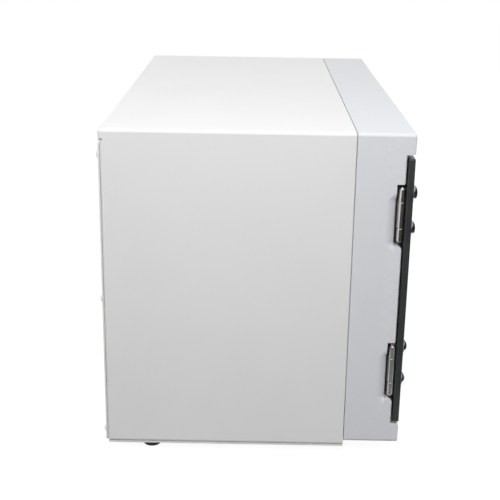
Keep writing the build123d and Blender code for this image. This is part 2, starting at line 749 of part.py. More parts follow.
def wire_rack():
    """Lift-out rack: a bent outer wire, cross wires on it and two stiffeners under them."""
    z = RAIL_TOP + RACK_REST + RACK_WIRE_R
    out = RACK_GAP + RACK_WIRE_R
    x0 = CHAMBER_X0 + out
    x1 = CHAMBER_X1 - out
    y0 = Y_RIM + LINER_T + out
    y1 = CHAMBER_Y1 - out
    corners = [(x0, y0, z), (x1, y0, z), (x1, y1, z), (x0, y1, z)]
    path = FilletPolyline(*corners, radius=RACK_CORNER_R, close=True)
    start = path @ 0
    section = Plane(origin=start, z_dir=path % 0) * Circle(RACK_WIRE_R)
    rack = sweep(section, path=path)
    count = int((x1 - x0 - 2 * RACK_CORNER_R) / RACK_PITCH)
    first = (x0 + x1) / 2 - count * RACK_PITCH / 2
    z_wire = z + RACK_WIRE_R - RACK_CROSS_R / 2
    for number in range(count + 1):
        rack += rod(RACK_CROSS_R, (first + number * RACK_PITCH, y0, z_wire), (0, 1, 0), y1 - y0)
    for y in (y0 + RACK_STIFFENER_IN, y1 - RACK_STIFFENER_IN):
        rack += rod(RACK_CROSS_R, (x0, y, z_wire - RACK_CROSS_R), (1, 0, 0), x1 - x0)
    return rack


# Lamp


def lamp_pin_holes(radius, x0, length):
    """Two bars on the lamp's pin centres."""
    half = LAMP_PIN_SPACING / 2
    bars = [rod(radius, (x0, LAMP_CY + side * half, LAMP_CZ), (1, 0, 0), length) for side in (-1, 1)]
    return bars[0] + bars[1]


def lampholders():
    """A white holder on each side wall, hung from the ceiling, with two blind pin holes."""
    depth = HOLDER_T
    bore = LAMP_PIN_R + SHAFT_FIT
    reach = LAMP_PIN_LEN + LAMP_END_GAP
    holders = []
    for x0, x_bore in ((CHAMBER_X0, CHAMBER_X0 + depth - reach), (CHAMBER_X1 - depth, CHAMBER_X1 - depth)):
        half = HOLDER_W / 2
        body = block(x0, x0 + depth, LAMP_CY - half, LAMP_CY + half, LAMP_CZ - HOLDER_BELOW, CHAMBER_Z1)
        low = body.edges().filter_by(Axis.X).group_by(Axis.Z)[0]
        body = fillet(low, HOLDER_R)
        top = body.edges().filter_by(Axis.Y).group_by(Axis.Z)[-1].sort_by(Axis.X)
        body = fillet(top[0] if x0 == CHAMBER_X0 else top[-1], LINER_R)
        holders.append(body - lamp_pin_holes(bore, x_bore, reach))
    return group(holders)


def uv_lamp_tube():
    """Clear quartz tube, open at its ends, which its caps close."""
    x0 = LAMP_CX - LAMP_LEN / 2 + LAMP_CAP_T
    length = LAMP_LEN - 2 * LAMP_CAP_T
    outer = rod(LAMP_R - LAMP_CAP_T, (x0, LAMP_CY, LAMP_CZ), (1, 0, 0), length)
    return outer - rod(LAMP_R - LAMP_CAP_T - LAMP_WALL, (x0, LAMP_CY, LAMP_CZ), (1, 0, 0), length)


def uv_lamp_end_caps():
    """An aluminium cap over each end of the tube, with two pins."""
    caps = []
    for side in (-1, 1):
        tip = LAMP_CX + side * LAMP_LEN / 2
        start = (tip, LAMP_CY, LAMP_CZ)
        inward = (-side, 0, 0)
        cap = rod(LAMP_R, start, inward, LAMP_CAP_LEN)
        hollow = (tip - side * LAMP_CAP_T, LAMP_CY, LAMP_CZ)
        cap -= rod(LAMP_R - LAMP_CAP_T, hollow, inward, LAMP_CAP_LEN)
        pin_x0 = min(tip, tip + side * LAMP_PIN_LEN)
        caps.append(cap + lamp_pin_holes(LAMP_PIN_R, pin_x0, LAMP_PIN_LEN))
    return group(caps)


def lamp_reflector():
    """Bright folded trough between the lamp and the chamber's ceiling."""
    top = CHAMBER_Z1
    low = top - REFLECTOR_H
    t = REFLECTOR_T
    outline = [(-REFLECTOR_WING / 2, low), (-REFLECTOR_TOP / 2, top), (REFLECTOR_TOP / 2, top),
               (REFLECTOR_WING / 2, low), (REFLECTOR_WING / 2 - 2 * t, low),
               (REFLECTOR_TOP / 2 - t / 2, top - t), (-REFLECTOR_TOP / 2 + t / 2, top - t),
               (-REFLECTOR_WING / 2 + 2 * t, low)]
    end = HOLDER_T + REFLECTOR_GAP
    x0 = CHAMBER_X0 + end
    plane = Plane(origin=(x0, LAMP_CY, 0), x_dir=(0, 1, 0), z_dir=(1, 0, 0))
    sheet = make_face(Polyline(*outline, close=True))
    return plane * extrude(sheet, CHAMBER_X1 - CHAMBER_X0 - 2 * end)


def lamp_guard():
    """Wire guard under the lamp: bent hoops from the ceiling, joined by three long wires."""
    half = GUARD_W / 2
    low = CHAMBER_Z1 - GUARD_DROP
    run = LAMP_LEN - 2 * GUARD_IN
    first = LAMP_CX - run / 2
    guard = None
    for number in range(GUARD_COUNT):
        x = first + run * number / (GUARD_COUNT - 1)
        points = [(x, LAMP_CY - half, CHAMBER_Z1), (x, LAMP_CY - half, low), (x, LAMP_CY + half, low),
                  (x, LAMP_CY + half, CHAMBER_Z1)]
        path = FilletPolyline(*points, radius=GUARD_BEND_R)
        section = Plane(origin=path @ 0, z_dir=path % 0) * Circle(GUARD_R)
        hoop = sweep(section, path=path)
        guard = hoop if guard is None else guard + hoop
    length = run + 2 * GUARD_END
    z_long = low + GUARD_R + GUARD_LONG_R - GUARD_WELD
    for y in (LAMP_CY - GUARD_WIRE_SIDE, LAMP_CY, LAMP_CY + GUARD_WIRE_SIDE):
        guard += rod(GUARD_LONG_R, (first - GUARD_END, y, z_long), (1, 0, 0), length)
    return guard


# Door


def door_panel():
    """Tinted panel from the hinged side to the recess's end, drilled for its bolts and knob."""
    panel = block(X_LEFT, DOOR_X1, Y_FRONT, Y_DOOR, Z_DOOR_0, Z_DOOR_1)
    panel = fillet(panel.edges().filter_by(Axis.Y), DOOR_CORNER_R)
    panel = fillet(panel.faces().sort_by(Axis.Y)[0].edges(), DOOR_EDGE_R)
    panel = fillet(panel.faces().sort_by(Axis.Y)[-1].edges(), DOOR_EDGE_R)
    for z in HINGE_Z.values():
        for x, z_bolt in hinge_bolt_places(z):
            panel -= through(M4_R, (x, Y_FRONT, z_bolt), (0, 1, 0), DOOR_T)
    panel -= through(M4_R, (knob_x(), Y_FRONT, LATCH_Z), (0, 1, 0), DOOR_T)
    return panel - countersink()


def knob_x():
    """Middle of the door knob, in from the door's free edge."""
    return DOOR_X1 - KNOB_IN


def countersink():
    """Cone of the knob screw's flush head in the door's back."""
    depth = COUNTERSINK_R - M4_R
    points = [(0, 0), (COUNTERSINK_R, 0), (M4_R, depth), (0, depth)]
    return turned(points, (knob_x(), Y_DOOR, LATCH_Z), (0, -1, 0))


def knob_screw():
    """Flush screw from the door's back into the knob."""
    return countersink() + rod(M4_R, (knob_x(), Y_DOOR, LATCH_Z), (0, -1, 0), DOOR_T + KNOB_REACH / 2)


def door_knob():
    """Turned knob with a foot, a neck and a rounded head, drilled for its screw."""
    under = KNOB_REACH - KNOB_HEAD
    points = [(0, 0), (KNOB_FOOT_R, 0), (KNOB_FOOT_R, KNOB_FOOT_T), (KNOB_NECK_R, KNOB_FOOT_T + KNOB_FLARE),
              (KNOB_NECK_R, under), (KNOB_R, under + KNOB_FLARE), (KNOB_R, KNOB_REACH), (0, KNOB_REACH)]
    knob = turned(points, (knob_x(), Y_FRONT, LATCH_Z), (0, -1, 0))
    knob = fillet(knob.edges().sort_by(Axis.Y)[0], KNOB_ROUND)
    bore = rod(M4_R, (knob_x(), Y_FRONT + OVER, LATCH_Z), (0, -1, 0), KNOB_REACH / 2 + OVER)
    return knob - bore


def striker_plate():
    """Steel plate on the door's back that meets the magnet."""
    half_w = STRIKER_W / 2
    half_h = STRIKER_H / 2
    plate = block(LATCH_X - half_w, LATCH_X + half_w, Y_DOOR, Y_DOOR + STRIKER_T, LATCH_Z - half_h,
                  LATCH_Z + half_h)
    return fillet(plate.edges().filter_by(Axis.Y), STRIKER_R)


def hinge_bolt_places(z_centre):
    """X and Z of the two bolts of a hinge, the same on both leaves."""
    return [(BOLT_X, z_centre + side * BOLT_SPACING / 2) for side in (-1, 1)]


def all_bolt_places():
    """Bolt places of both hinges."""
    return [place for z in HINGE_Z.values() for place in hinge_bolt_places(z)]


def knuckle_spans(z_centre):
    """Low and high ends of the bottom, middle and top knuckles."""
    low = z_centre - HINGE_H / 2
    high = z_centre + HINGE_H / 2
    inner_low = low + KNUCKLE
    inner_high = high - KNUCKLE
    gap = KNUCKLE_GAP / 2
    return [(low, inner_low - gap), (inner_low + gap, inner_high - gap), (inner_high + gap, high)]


def hinge_leaf(z_centre, spans, y0, bore):
    """Hinge leaf: a flat plate and the knuckles it wraps round the pin."""
    x0 = HINGE_X + BARREL_R + LEAF_GAP
    leaf = block(x0, HINGE_X + LEAF_LEN, y0, y0 + LEAF_T, z_centre - HINGE_H / 2, z_centre + HINGE_H / 2)
    for low, high in spans:
        leaf += rod(BARREL_R, (HINGE_X, HINGE_Y, low), (0, 0, 1), high - low)
        leaf += block(HINGE_X, x0 + LEAF_GAP, y0, y0 + LEAF_T, low, high)
    leaf -= rod(bore, (HINGE_X, HINGE_Y, z_centre - HINGE_H), (0, 0, 1), HINGE_H * 2)
    radius = M4_R if y0 < HINGE_Y else M3_R
    for x, z in hinge_bolt_places(z_centre):
        leaf -= through(radius, (x, y0, z), (0, 1, 0), LEAF_T)
    return leaf


def hinge_frame_leaf(z_centre):
    """Fixed leaf with the two outer knuckles, countersunk for its screws."""
    spans = knuckle_spans(z_centre)
    leaf = hinge_leaf(z_centre, [spans[0], spans[2]], Y_LEAF_FRAME, PIN_R)
    for place in hinge_bolt_places(z_centre):
        leaf -= leaf_screw_head(place)
    return leaf


def hinge_door_leaf(z_centre):
    """Moving leaf with the middle knuckle, which turns on the pin."""
    spans = knuckle_spans(z_centre)
    return hinge_leaf(z_centre, [spans[1]], Y_LEAF_DOOR, PIN_R + PIN_FIT)


def hinge_pin(z_centre):
    """Hinge pin with a low domed head at each end."""
    low = z_centre - HINGE_H / 2
    high = z_centre + HINGE_H / 2
    pin = rod(PIN_R, (HINGE_X, HINGE_Y, low), (0, 0, 1), HINGE_H)
    dome = [(0, 0), (PIN_HEAD_R, 0), (PIN_HEAD_R * 0.75, PIN_HEAD_H * 0.7), (0, PIN_HEAD_H)]
    pin += turned(dome, (HINGE_X, HINGE_Y, high), (0, 0, 1))
    return pin + turned(dome, (HINGE_X, HINGE_Y, low), (0, 0, -1))


def leaf_screw_head(place):
    """Cone of a flush screw head in a frame leaf."""
    wide = M3_R * 2
    depth = wide - M3_R
    points = [(0, 0), (wide, 0), (M3_R, depth), (0, depth)]
    return turned(points, (place[0], Y_LEAF_FRAME, place[1]), (0, 1, 0))


def hinge_leaf_screws():
    """Flush screws through the frame leaves and their backplates into the notch pockets."""
    screws = []
    for place in all_bolt_places():
        shank = rod(M3_R, (place[0], Y_LEAF_FRAME, place[1]), (0, 1, 0), SCREW_LEN)
        screws.append(leaf_screw_head(place) + shank)
    return group(screws)


def hinge_backplates():
    """Steel plate between each frame leaf and the notch floor."""
    plates = []
    for z in HINGE_Z.values():
        x0 = HINGE_X + BARREL_R + LEAF_GAP
        y0 = Y_LEAF_FRAME + LEAF_T
        plate = block(x0, HINGE_X + LEAF_LEN, y0, Y_NOTCH, z - HINGE_H / 2, z + HINGE_H / 2)
        for place in hinge_bolt_places(z):
            plate -= through(M3_R, (place[0], y0, place[1]), (0, 1, 0), Y_NOTCH - y0)
            plate -= leaf_screw_head(place)
        plates.append(plate)
    return group(plates)


def hinge_pads():
    """Thin pad between each door leaf and the door's back."""
    pads = []
    for z in HINGE_Z.values():
        x0 = HINGE_X + BARREL_R + LEAF_GAP
        pad = block(x0, HINGE_X + LEAF_LEN, Y_DOOR, Y_LEAF_DOOR, z - HINGE_H / 2, z + HINGE_H / 2)
        for place in hinge_bolt_places(z):
            pad -= through(M4_R, (place[0], Y_DOOR, place[1]), (0, 1, 0), PAD_T)
        pads.append(pad)
    return group(pads)


def door_bolts():
    """Chrome bolts with wide domed heads on the door's front."""
    bolts = []
    length = DOOR_T + PAD_T + LEAF_T + NUT_T + BOLT_END
    for x, z in all_bolt_places():
        rim = Line((0, 0), (BOLT_DOME_R, 0)) + Line((BOLT_DOME_R, 0), (BOLT_DOME_R, BOLT_RIM_H))
        mid = (BOLT_DOME_R * 0.78, BOLT_RIM_H + (BOLT_DOME_H - BOLT_RIM_H) * 0.68)
        dome = Spline((BOLT_DOME_R, BOLT_RIM_H), mid, (0, BOLT_DOME_H), tangents=((0, 1), (-1, 0)))
        stem = Line((0, BOLT_DOME_H), (0, 0))
        head = revolve(make_face(Plane.XZ * (rim + dome + stem)), Axis.Z)
        head = Plane(origin=(x, Y_FRONT, z), z_dir=(0, -1, 0)) * head
        bolts.append(head + rod(M4_R, (x, Y_FRONT, z), (0, 1, 0), length))
    return group(bolts)


def door_nuts():
    """Thin nuts on the door bolts, over the door leaves."""
    nuts = []
    for x, z in all_bolt_places():
        face = (x, Y_LEAF_DOOR + LEAF_T, z)
        nuts.append(hexagon(NUT_R, face, (0, 1, 0), NUT_T) - through(M4_R, face, (0, 1, 0), NUT_T))
    return group(nuts)


def door_bumpers():
    """Soft stops on the recess floor at its open lower corner and its closed upper corner."""
    bumpers = []
    x_latch = RECESS_X1 - DOOR_CORNER_R - BUMPER_W
    for x, z in ((HINGE_X + LEAF_GAP, Z_RECESS_0), (x_latch, Z_RECESS_1 - BUMPER_W)):
        bumpers.append(block(x, x + BUMPER_W, Y_DOOR, Y_FLOOR, z, z + BUMPER_W))
    return group(bumpers)


# Controls


def panel_screw_places():
    """X and Z of the control panel's screws, one above and one below the window."""
    z = PANEL_CZ
    reach = PANEL_H / 2 - PANEL_LAND
    return [(BAY_X, z - reach), (BAY_X, z + reach)]


def control_panel():
    """Plate in the bezel's seat, holed for the timer, the switch, the lamp and its screws."""
    z = PANEL_CZ
    gap = SHAFT_FIT
    half_w = PANEL_W / 2 - gap
    half_h = PANEL_H / 2 - gap
    plate = block(BAY_X - half_w, BAY_X + half_w, Y_FRONT, Y_FRONT + PANEL_T, z - half_h, z + half_h)
    plate = fillet(plate.edges().filter_by(Axis.Y), PANEL_R)
    plate -= through(BUSH_R, (BAY_X, Y_FRONT, z), (0, 1, 0), PANEL_T)
    plate -= through(PILOT_R, (BAY_X, Y_FRONT, z + PILOT_RISE), (0, 1, 0), PANEL_T)
    half_w = ROCKER_W / 2
    half_h = ROCKER_H / 2
    zr = z - ROCKER_DROP
    plate -= block(BAY_X - half_w, BAY_X + half_w, Y_FRONT - OVER, Y_FRONT + OVER, zr - half_h, zr + half_h)
    for x, z_screw in panel_screw_places():
        plate -= through(M3_R, (x, Y_FRONT, z_screw), (0, 1, 0), PANEL_T)
    return plate


def control_panel_screws():
    """Two small pan head screws in the control panel."""
    return group(pan_screw((x, Y_FRONT, z), (0, -1, 0)) for x, z in panel_screw_places())


def timer_body():
    """Clockwork timer behind the panel, its threaded bush through it."""
    z = PANEL_CZ
    half = TIMER_W / 2
    y0 = Y_FRONT + PANEL_T
    body = block(BAY_X - half, BAY_X + half, y0, y0 + TIMER_D, z - half, z + half)
    body = fillet(body.edges().filter_by(Axis.Y), PANEL_R)
    body += rod(BUSH_R, (BAY_X, y0, z), (0, -1, 0), BUSH_LEN)
    mouth = (BAY_X, y0 - BUSH_LEN - OVER, z)
    return body - rod(SHAFT_R + SHAFT_FIT, mouth, (0, 1, 0), OVER + BUSH_LEN + TIMER_D / 2)


def timer_nut():
    """Flat nut on the timer's bush, under the knob."""
    z = PANEL_CZ
    nut = hexagon(TIMER_NUT_R, (BAY_X, Y_FRONT, z), (0, -1, 0), TIMER_NUT_T)
    return nut - through(BUSH_R, (BAY_X, Y_FRONT, z), (0, -1, 0), TIMER_NUT_T)


def timer_shaft():
    """Steel shaft from the timer into the knob."""
    z = PANEL_CZ
    y0 = Y_FRONT - DIAL_LIFT - DIAL_SOCKET
    y1 = Y_FRONT + PANEL_T + TIMER_D / 2 - PLUNGER_GAP
    return rod(SHAFT_R, (BAY_X, y0, z), (0, 1, 0), y1 - y0)


def timer_knob():
    """Round knob with a skirt and a raised pointer bar, hollow over the nut."""
    z = PANEL_CZ
    origin = (BAY_X, Y_FRONT - DIAL_LIFT, z)
    points = [(0, 0), (DIAL_R, 0), (DIAL_R, DIAL_SKIRT), (DIAL_GRIP_R + DIAL_EDGE, DIAL_SKIRT + DIAL_SLOPE),
              (DIAL_GRIP_R, DIAL_H - DIAL_EDGE), (DIAL_GRIP_R - DIAL_EDGE, DIAL_H), (0, DIAL_H)]
    knob = turned(points, origin, (0, -1, 0))
    front = (BAY_X, Y_FRONT, z)
    knob -= rod(TIMER_NUT_R + DIAL_LIFT, front, (0, -1, 0), BUSH_LEN)
    knob -= rod(SHAFT_R, front, (0, -1, 0), DIAL_LIFT + DIAL_SOCKET)
    y_face = Y_FRONT - DIAL_LIFT - DIAL_H
    half = POINTER_W / 2
    return knob + block(BAY_X - half, BAY_X + half, y_face - POINTER_H, y_face + POINTER_H, z,
                        z + DIAL_GRIP_R - POINTER_W)


def rocker_z():
    """Height of the rocker switch's middle."""
    return PANEL_CZ - ROCKER_DROP


def rocker_switch_body():
    """Switch housing with a flange on the panel and bearing holes for the rocker."""
    z = rocker_z()
    half_w = ROCKER_W / 2
    half_h = ROCKER_H / 2
    out = ROCKER_FLANGE
    y0 = Y_FRONT - out
    body = block(BAY_X - half_w, BAY_X + half_w, Y_FRONT, Y_FRONT + ROCKER_D, z - half_h, z + half_h)
    body += block(BAY_X - half_w - out, BAY_X + half_w + out, y0, Y_FRONT, z - half_h - out, z + half_h + out)
    wall = ROCKER_WALL
    deep = Y_FRONT + ROCKER_D / 2
    body -= block(BAY_X - half_w + wall, BAY_X + half_w - wall, y0 - OVER, deep, z - half_h + wall,
                  z + half_h - wall)
    start = (BAY_X - half_w + wall / 3, Y_FRONT, z)
    return body - rod(ROCKER_PIVOT_R + SHAFT_FIT, start, (1, 0, 0), ROCKER_W - wall * 2 / 3)


def power_rocker():
    """Rocker tipped towards its off side, on two pivot stubs."""
    z = rocker_z()
    half_w = ROCKER_W / 2 - ROCKER_WALL - ROCKER_FIT
    half_h = ROCKER_H / 2 - ROCKER_WALL - ROCKER_FIT
    high = -ROCKER_FLANGE - ROCKER_PROUD
    low = -ROCKER_FLANGE - ROCKER_FIT
    outline = [(low, -half_h + ROCKER_FIT), (-ROCKER_DISH, 0), (high, half_h - ROCKER_SLOPE),
               (ROCKER_EDGE, half_h - ROCKER_FIT), (ROCKER_KEEL, half_h / 3), (ROCKER_KEEL, -half_h / 2),
               (ROCKER_EDGE, -half_h + ROCKER_SLOPE)]
    side = Plane(origin=(BAY_X - half_w, Y_FRONT, z), x_dir=(0, 1, 0), z_dir=(1, 0, 0))
    paddle = side * extrude(make_face(Polyline(*outline, close=True)), half_w * 2)
    reach = ROCKER_W / 2 - ROCKER_WALL / 2
    return paddle + rod(ROCKER_PIVOT_R, (BAY_X - reach, Y_FRONT, z), (1, 0, 0), reach * 2)


def pilot_lamp_body():
    """Indicator housing through the panel."""
    z = PANEL_CZ + PILOT_RISE
    body = rod(PILOT_R, (BAY_X, Y_FRONT, z), (0, 1, 0), PILOT_D)
    return body + rod(PILOT_R + PILOT_COLLAR, (BAY_X, Y_FRONT + PANEL_T, z), (0, 1, 0), PILOT_COLLAR)


def pilot_lamp_lens():
    """Domed coloured lens on the panel's face."""
    z = PANEL_CZ + PILOT_RISE
    height = PILOT_LENS_H
    points = [(0, 0), (PILOT_LENS_R, 0), (PILOT_LENS_R, PILOT_RIM_H), (PILOT_LENS_R * 0.85, height * 0.6),
              (PILOT_LENS_R * 0.5, height * 0.92), (0, height)]
    return turned(points, (BAY_X, Y_FRONT, z), (0, -1, 0))


# Interlock and catch


def plunger_z():
    """Height of the interlock plunger, above the magnet."""
    return LATCH_Z + INTERLOCK_RISE


def interlock_plunger():
    """Pin that the closed door holds in, with a collar behind the recess floor."""
    z = plunger_z()
    tail = Y_FLOOR + WALL + PLUNGER_TRAVEL
    pin = rod(PLUNGER_R, (LATCH_X, Y_DOOR, z), (0, 1, 0), tail + PLUNGER_TAIL - Y_DOOR)
    return pin + rod(PLUNGER_COLLAR_R, (LATCH_X, tail + PLUNGER_GAP, z), (0, 1, 0), PLUNGER_COLLAR_T)


def interlock_switch_body():
    """Small switch behind the plunger, on two legs from the recess floor."""
    z = plunger_z()
    half = SWITCH_W / 2
    half_l = SWITCH_L / 2
    y0 = Y_FLOOR + WALL + PLUNGER_TRAVEL + PLUNGER_TAIL
    body = block(LATCH_X - half, LATCH_X + half, y0, y0 + SWITCH_D, z - half_l, z + half_l)
    for side in (-1, 1):
        centre = z + side * (half_l - SWITCH_LEG / 2)
        body += block(LATCH_X - half, LATCH_X + half, Y_FLOOR + WALL, y0, centre - SWITCH_LEG / 2,
                      centre + SWITCH_LEG / 2)
    return body


def magnetic_catch():
    """Round magnet set flush in the recess floor, with a flange behind it."""
    magnet = rod(CATCH_R, (LATCH_X, Y_FLOOR, LATCH_Z), (0, 1, 0), CATCH_D)
    return magnet + rod(CATCH_R + CATCH_FLANGE, (LATCH_X, Y_FLOOR + WALL, LATCH_Z), (0, 1, 0), CATCH_FLANGE)


# Electrics in the side bay


def bay_x():
    """Middle of the side bay, between the chamber and the casing's side."""
    return (CHAMBER_X1 + LINER_T + X_RIGHT - SHEET) / 2


def ballast_x():
    """Middle of the ballast, beside the casing's bottom flange."""
    return X_RIGHT - BOTTOM_FLANGE - PANEL_GAP - BALLAST_W / 2


def ballast():
    """Choke for the lamp: a steel case with a screw ear at each end."""
    x = ballast_x()
    y = Y_FRONT + BALLAST_Y
    half_w = BALLAST_W / 2
    half_l = BALLAST_L / 2
    case = block(x - half_w, x + half_w, y - half_l, y + half_l, Z_CASE, Z_CASE + BALLAST_H)
    case = fillet(case.edges().filter_by(Axis.Y).group_by(Axis.Z)[-1], STEEL_CASE_R)
    ear = half_l + BALLAST_EAR
    case += block(x - half_w / 2, x + half_w / 2, y - ear, y + ear, Z_CASE, Z_CASE + SHEET)
    for place in ballast_screw_places():
        case -= through(M3_R, (place[0], place[1], Z_CASE), (0, 0, 1), SHEET)
    return case


def ballast_screw_places():
    """X and Y of the ballast's two screws."""
    reach = BALLAST_L / 2 + BALLAST_EAR / 2
    return [(ballast_x(), Y_FRONT + BALLAST_Y + side * reach) for side in (-1, 1)]


def ballast_screws():
    """Short screws through the ballast's ears into the base plate."""
    face = Z_CASE + SHEET
    return group(pan_screw((x, y, face), (0, 0, 1), M3_R, SHEET) for x, y in ballast_screw_places())


def terminal_block():
    """Terminal strip on the base plate with four screw wells."""
    x = bay_x()
    y = Y_FRONT + TERMINAL_Y
    half_w = TERMINAL_W / 2
    half_l = TERMINAL_L / 2
    strip = block(x - half_w, x + half_w, y - half_l, y + half_l, Z_CASE, Z_CASE + TERMINAL_H)
    for number in range(TERMINAL_WAYS):
        y_well = y - half_l + TERMINAL_L * (number + 0.5) / TERMINAL_WAYS
        strip -= rod(M4_R, (x, y_well, Z_CASE + TERMINAL_H / 2), (0, 0, 1), TERMINAL_H)
    return strip


def starter_x():
    """Middle of the starter, beside the chamber's wall."""
    return CHAMBER_X1 + LINER_T + BAY_GAP + SOCKET_W / 2


def starter_socket():
    """Square socket on the base plate that holds the starter."""
    x = starter_x()
    y = Y_FRONT + STARTER_Y
    half = SOCKET_W / 2
    body = block(x - half, x + half, y - half, y + half, Z_CASE, Z_CASE + SOCKET_H)
    body = fillet(body.edges().filter_by(Axis.Z), SOCKET_R)
    return body - rod(STARTER_R, (x, y, Z_CASE + SOCKET_H / 2), (0, 0, 1), SOCKET_H)


def starter():
    """Aluminium starter canister, its foot in the socket."""
    x = starter_x()
    y = Y_FRONT + STARTER_Y
    can = rod(STARTER_R, (x, y, Z_CASE + SOCKET_H / 2), (0, 0, 1), STARTER_H)
    return fillet(can.edges().sort_by(Axis.Z)[-1], STEEL_CASE_R)


def wiring_loom():
    """Loom of the side bay: from the terminal strip up behind the controls."""
    x = bay_x()
    y0 = Y_FRONT + TERMINAL_Y
    z_low = Z_CASE + TERMINAL_H
    y1 = Y_FRONT + PANEL_T + TIMER_D
    z_timer = PANEL_CZ
    points = [(x, y0, z_low), (x, y0, z_timer), (x, y1, z_timer)]
    path = FilletPolyline(*points, radius=min(LOOM_BEND, (y0 - y1) * 0.9))
    section = Plane(origin=path @ 0, z_dir=path % 0) * Circle(LOOM_R)
    return sweep(section, path=path)


# Inlet and fuse


def mains_inlet():
    """Flanged appliance inlet with an open socket that faces the rear."""
    x = inlet_x()
    z = Z_CASE + INLET_Z
    y_face = Y_REAR + INLET_FLANGE_T
    half_w = INLET_FLANGE_W / 2
    half_h = INLET_FLANGE_H / 2
    flange = block(x - half_w, x + half_w, Y_REAR, y_face, z - half_h, z + half_h)
    flange = fillet(flange.edges().filter_by(Axis.Y), PANEL_R)
    half_w = INLET_BODY_W / 2
    half_h = INLET_BODY_H / 2
    body = block(x - half_w, x + half_w, Y_REAR - INLET_BODY_D, Y_REAR, z - half_h, z + half_h)
    half_w = INLET_SOCKET_W / 2
    half_h = INLET_SOCKET_H / 2
    socket = block(x - half_w, x + half_w, y_face - INLET_SOCKET_D, y_face + OVER, z - half_h, z + half_h)
    upper = socket.edges().filter_by(Axis.Y).group_by(Axis.Z)[-1]
    socket = chamfer(upper, INLET_SOCKET_CUT)
    lower = socket.edges().filter_by(Axis.Y).group_by(Axis.Z)[0]
    socket = fillet(lower, INLET_SOCKET_R)
    inlet = flange + body - socket
    for px, pz in prong_places():
        inlet -= prong(px, pz)
    for px, pz in inlet_screw_places():
        inlet -= through(M3_R, (px, Y_REAR, pz), (0, 1, 0), INLET_FLANGE_T)
    return inlet


def prong_places():
    """X and Z of the three prongs, the middle one higher."""
    x = inlet_x()
    z = Z_CASE + INLET_Z
    return [(x - PRONG_SIDE, z - PRONG_RISE), (x, z + PRONG_RISE), (x + PRONG_SIDE, z - PRONG_RISE)]


def prong(x, z):
    """Flat prong through the socket's floor, with its tab inside the cabinet."""
    floor = Y_REAR + INLET_FLANGE_T - INLET_SOCKET_D
    tail = Y_REAR - INLET_BODY_D - PRONG_TAB
    return block(x - PRONG_W / 2, x + PRONG_W / 2, tail, floor + PRONG_LEN, z - PRONG_H / 2, z + PRONG_H / 2)


def inlet_pins():
    """Three flat prongs."""
    return group(prong(x, z) for x, z in prong_places())


def inlet_screw_places():
    """X and Z of the inlet's two screws."""
    z = Z_CASE + INLET_Z
    return [(inlet_x() + side * INLET_SCREWS / 2, z) for side in (-1, 1)]


def inlet_screws():
    """Pan head screws through the inlet's flange and the back panel."""
    face = Y_REAR + INLET_FLANGE_T
    return group(pan_screw((x, face, z), (0, 1, 0)) for x, z in inlet_screw_places())


def fuse_z():
    """Height of the fuse holder's middle."""
    return Z_CASE + INLET_Z + FUSE_RISE


def fuse_holder():
    """Fuse holder through the back panel, open at the rear for its cap."""
    start = (inlet_x(), Y_REAR + FUSE_FLANGE_T, fuse_z())
    body = rod(FUSE_FLANGE_R, start, (0, -1, 0), FUSE_FLANGE_T)
    body += rod(FUSE_HOLE_R, start, (0, -1, 0), FUSE_FLANGE_T + FUSE_BODY_D)
    return body - rod(FUSE_HOLE_R - FUSE_WALL, start, (0, -1, 0), FUSE_FLANGE_T + FUSE_BODY_D - FUSE_END)


def fuse_cap():
    """Screw-in cap with a coin slot, its stem inside the holder."""
    start = (inlet_x(), Y_REAR + FUSE_FLANGE_T, fuse_z())
    cap = rod(FUSE_CAP_R, start, (0, 1, 0), FUSE_CAP_LEN)
    cap = chamfer(cap.edges().sort_by(Axis.Y)[-1], FUSE_CAP_EDGE)
    cap += rod(FUSE_HOLE_R - FUSE_WALL, start, (0, -1, 0), FUSE_BODY_D / 2)
    x, y, z = start
    tip = y + FUSE_CAP_LEN
    half = FUSE_SLOT_W / 2
    return cap - block(x - FUSE_CAP_R, x + FUSE_CAP_R, tip - FUSE_SLOT_D, tip + OVER, z - half, z + half)


NODES = {
    "outer_casing": outer_casing,
    "base_plate": base_plate,
    "back_panel": back_panel,
    "back_panel_screws": back_panel_screws,
    "base_plate_screws": base_plate_screws,
    "feet": feet,
    "foot_screws": foot_screws,
    "front_bezel": front_bezel,
    "bezel_screws": bezel_screws,
    "chamber_liner": chamber_liner,
    "liner_screws": liner_screws,
    "liner_stand": liner_stand,
    "rack_rails": rack_rails,
    "wire_rack": wire_rack,
    "lamp_reflector": lamp_reflector,
    "lampholders": lampholders,
    "uv_lamp_tube": uv_lamp_tube,
    "uv_lamp_end_caps": uv_lamp_end_caps,
    "lamp_guard": lamp_guard,
    "door_panel": door_panel,
    "door_knob": door_knob,
    "knob_screw": knob_screw,
    "striker_plate": striker_plate,
    "door_bolts": door_bolts,
    "door_nuts": door_nuts,
    "hinge_pads": hinge_pads,
    "hinge_backplates": hinge_backplates,
    "hinge_leaf_screws": hinge_leaf_screws,
    "door_bumpers": door_bumpers,
    "control_panel": control_panel,
    "control_panel_screws": control_panel_screws,
    "timer_body": timer_body,
    "timer_nut": timer_nut,
    "timer_shaft": timer_shaft,
    "timer_knob": timer_knob,
    "rocker_switch_body": rocker_switch_body,
    "power_rocker": power_rocker,
    "pilot_lamp_body": pilot_lamp_body,
    "pilot_lamp_lens": pilot_lamp_lens,
    "interlock_plunger": interlock_plunger,
    "interlock_switch_body": interlock_switch_body,
    "magnetic_catch": magnetic_catch,
    "ballast": ballast,
    "ballast_screws": ballast_screws,
    "terminal_block": terminal_block,
    "starter_socket": starter_socket,
    "starter": starter,
    "wiring_loom": wiring_loom,
    "mains_inlet": mains_inlet,
    "inlet_pins": inlet_pins,
    "inlet_screws": inlet_screws,
    "fuse_holder": fuse_holder,
    "fuse_cap": fuse_cap,
}

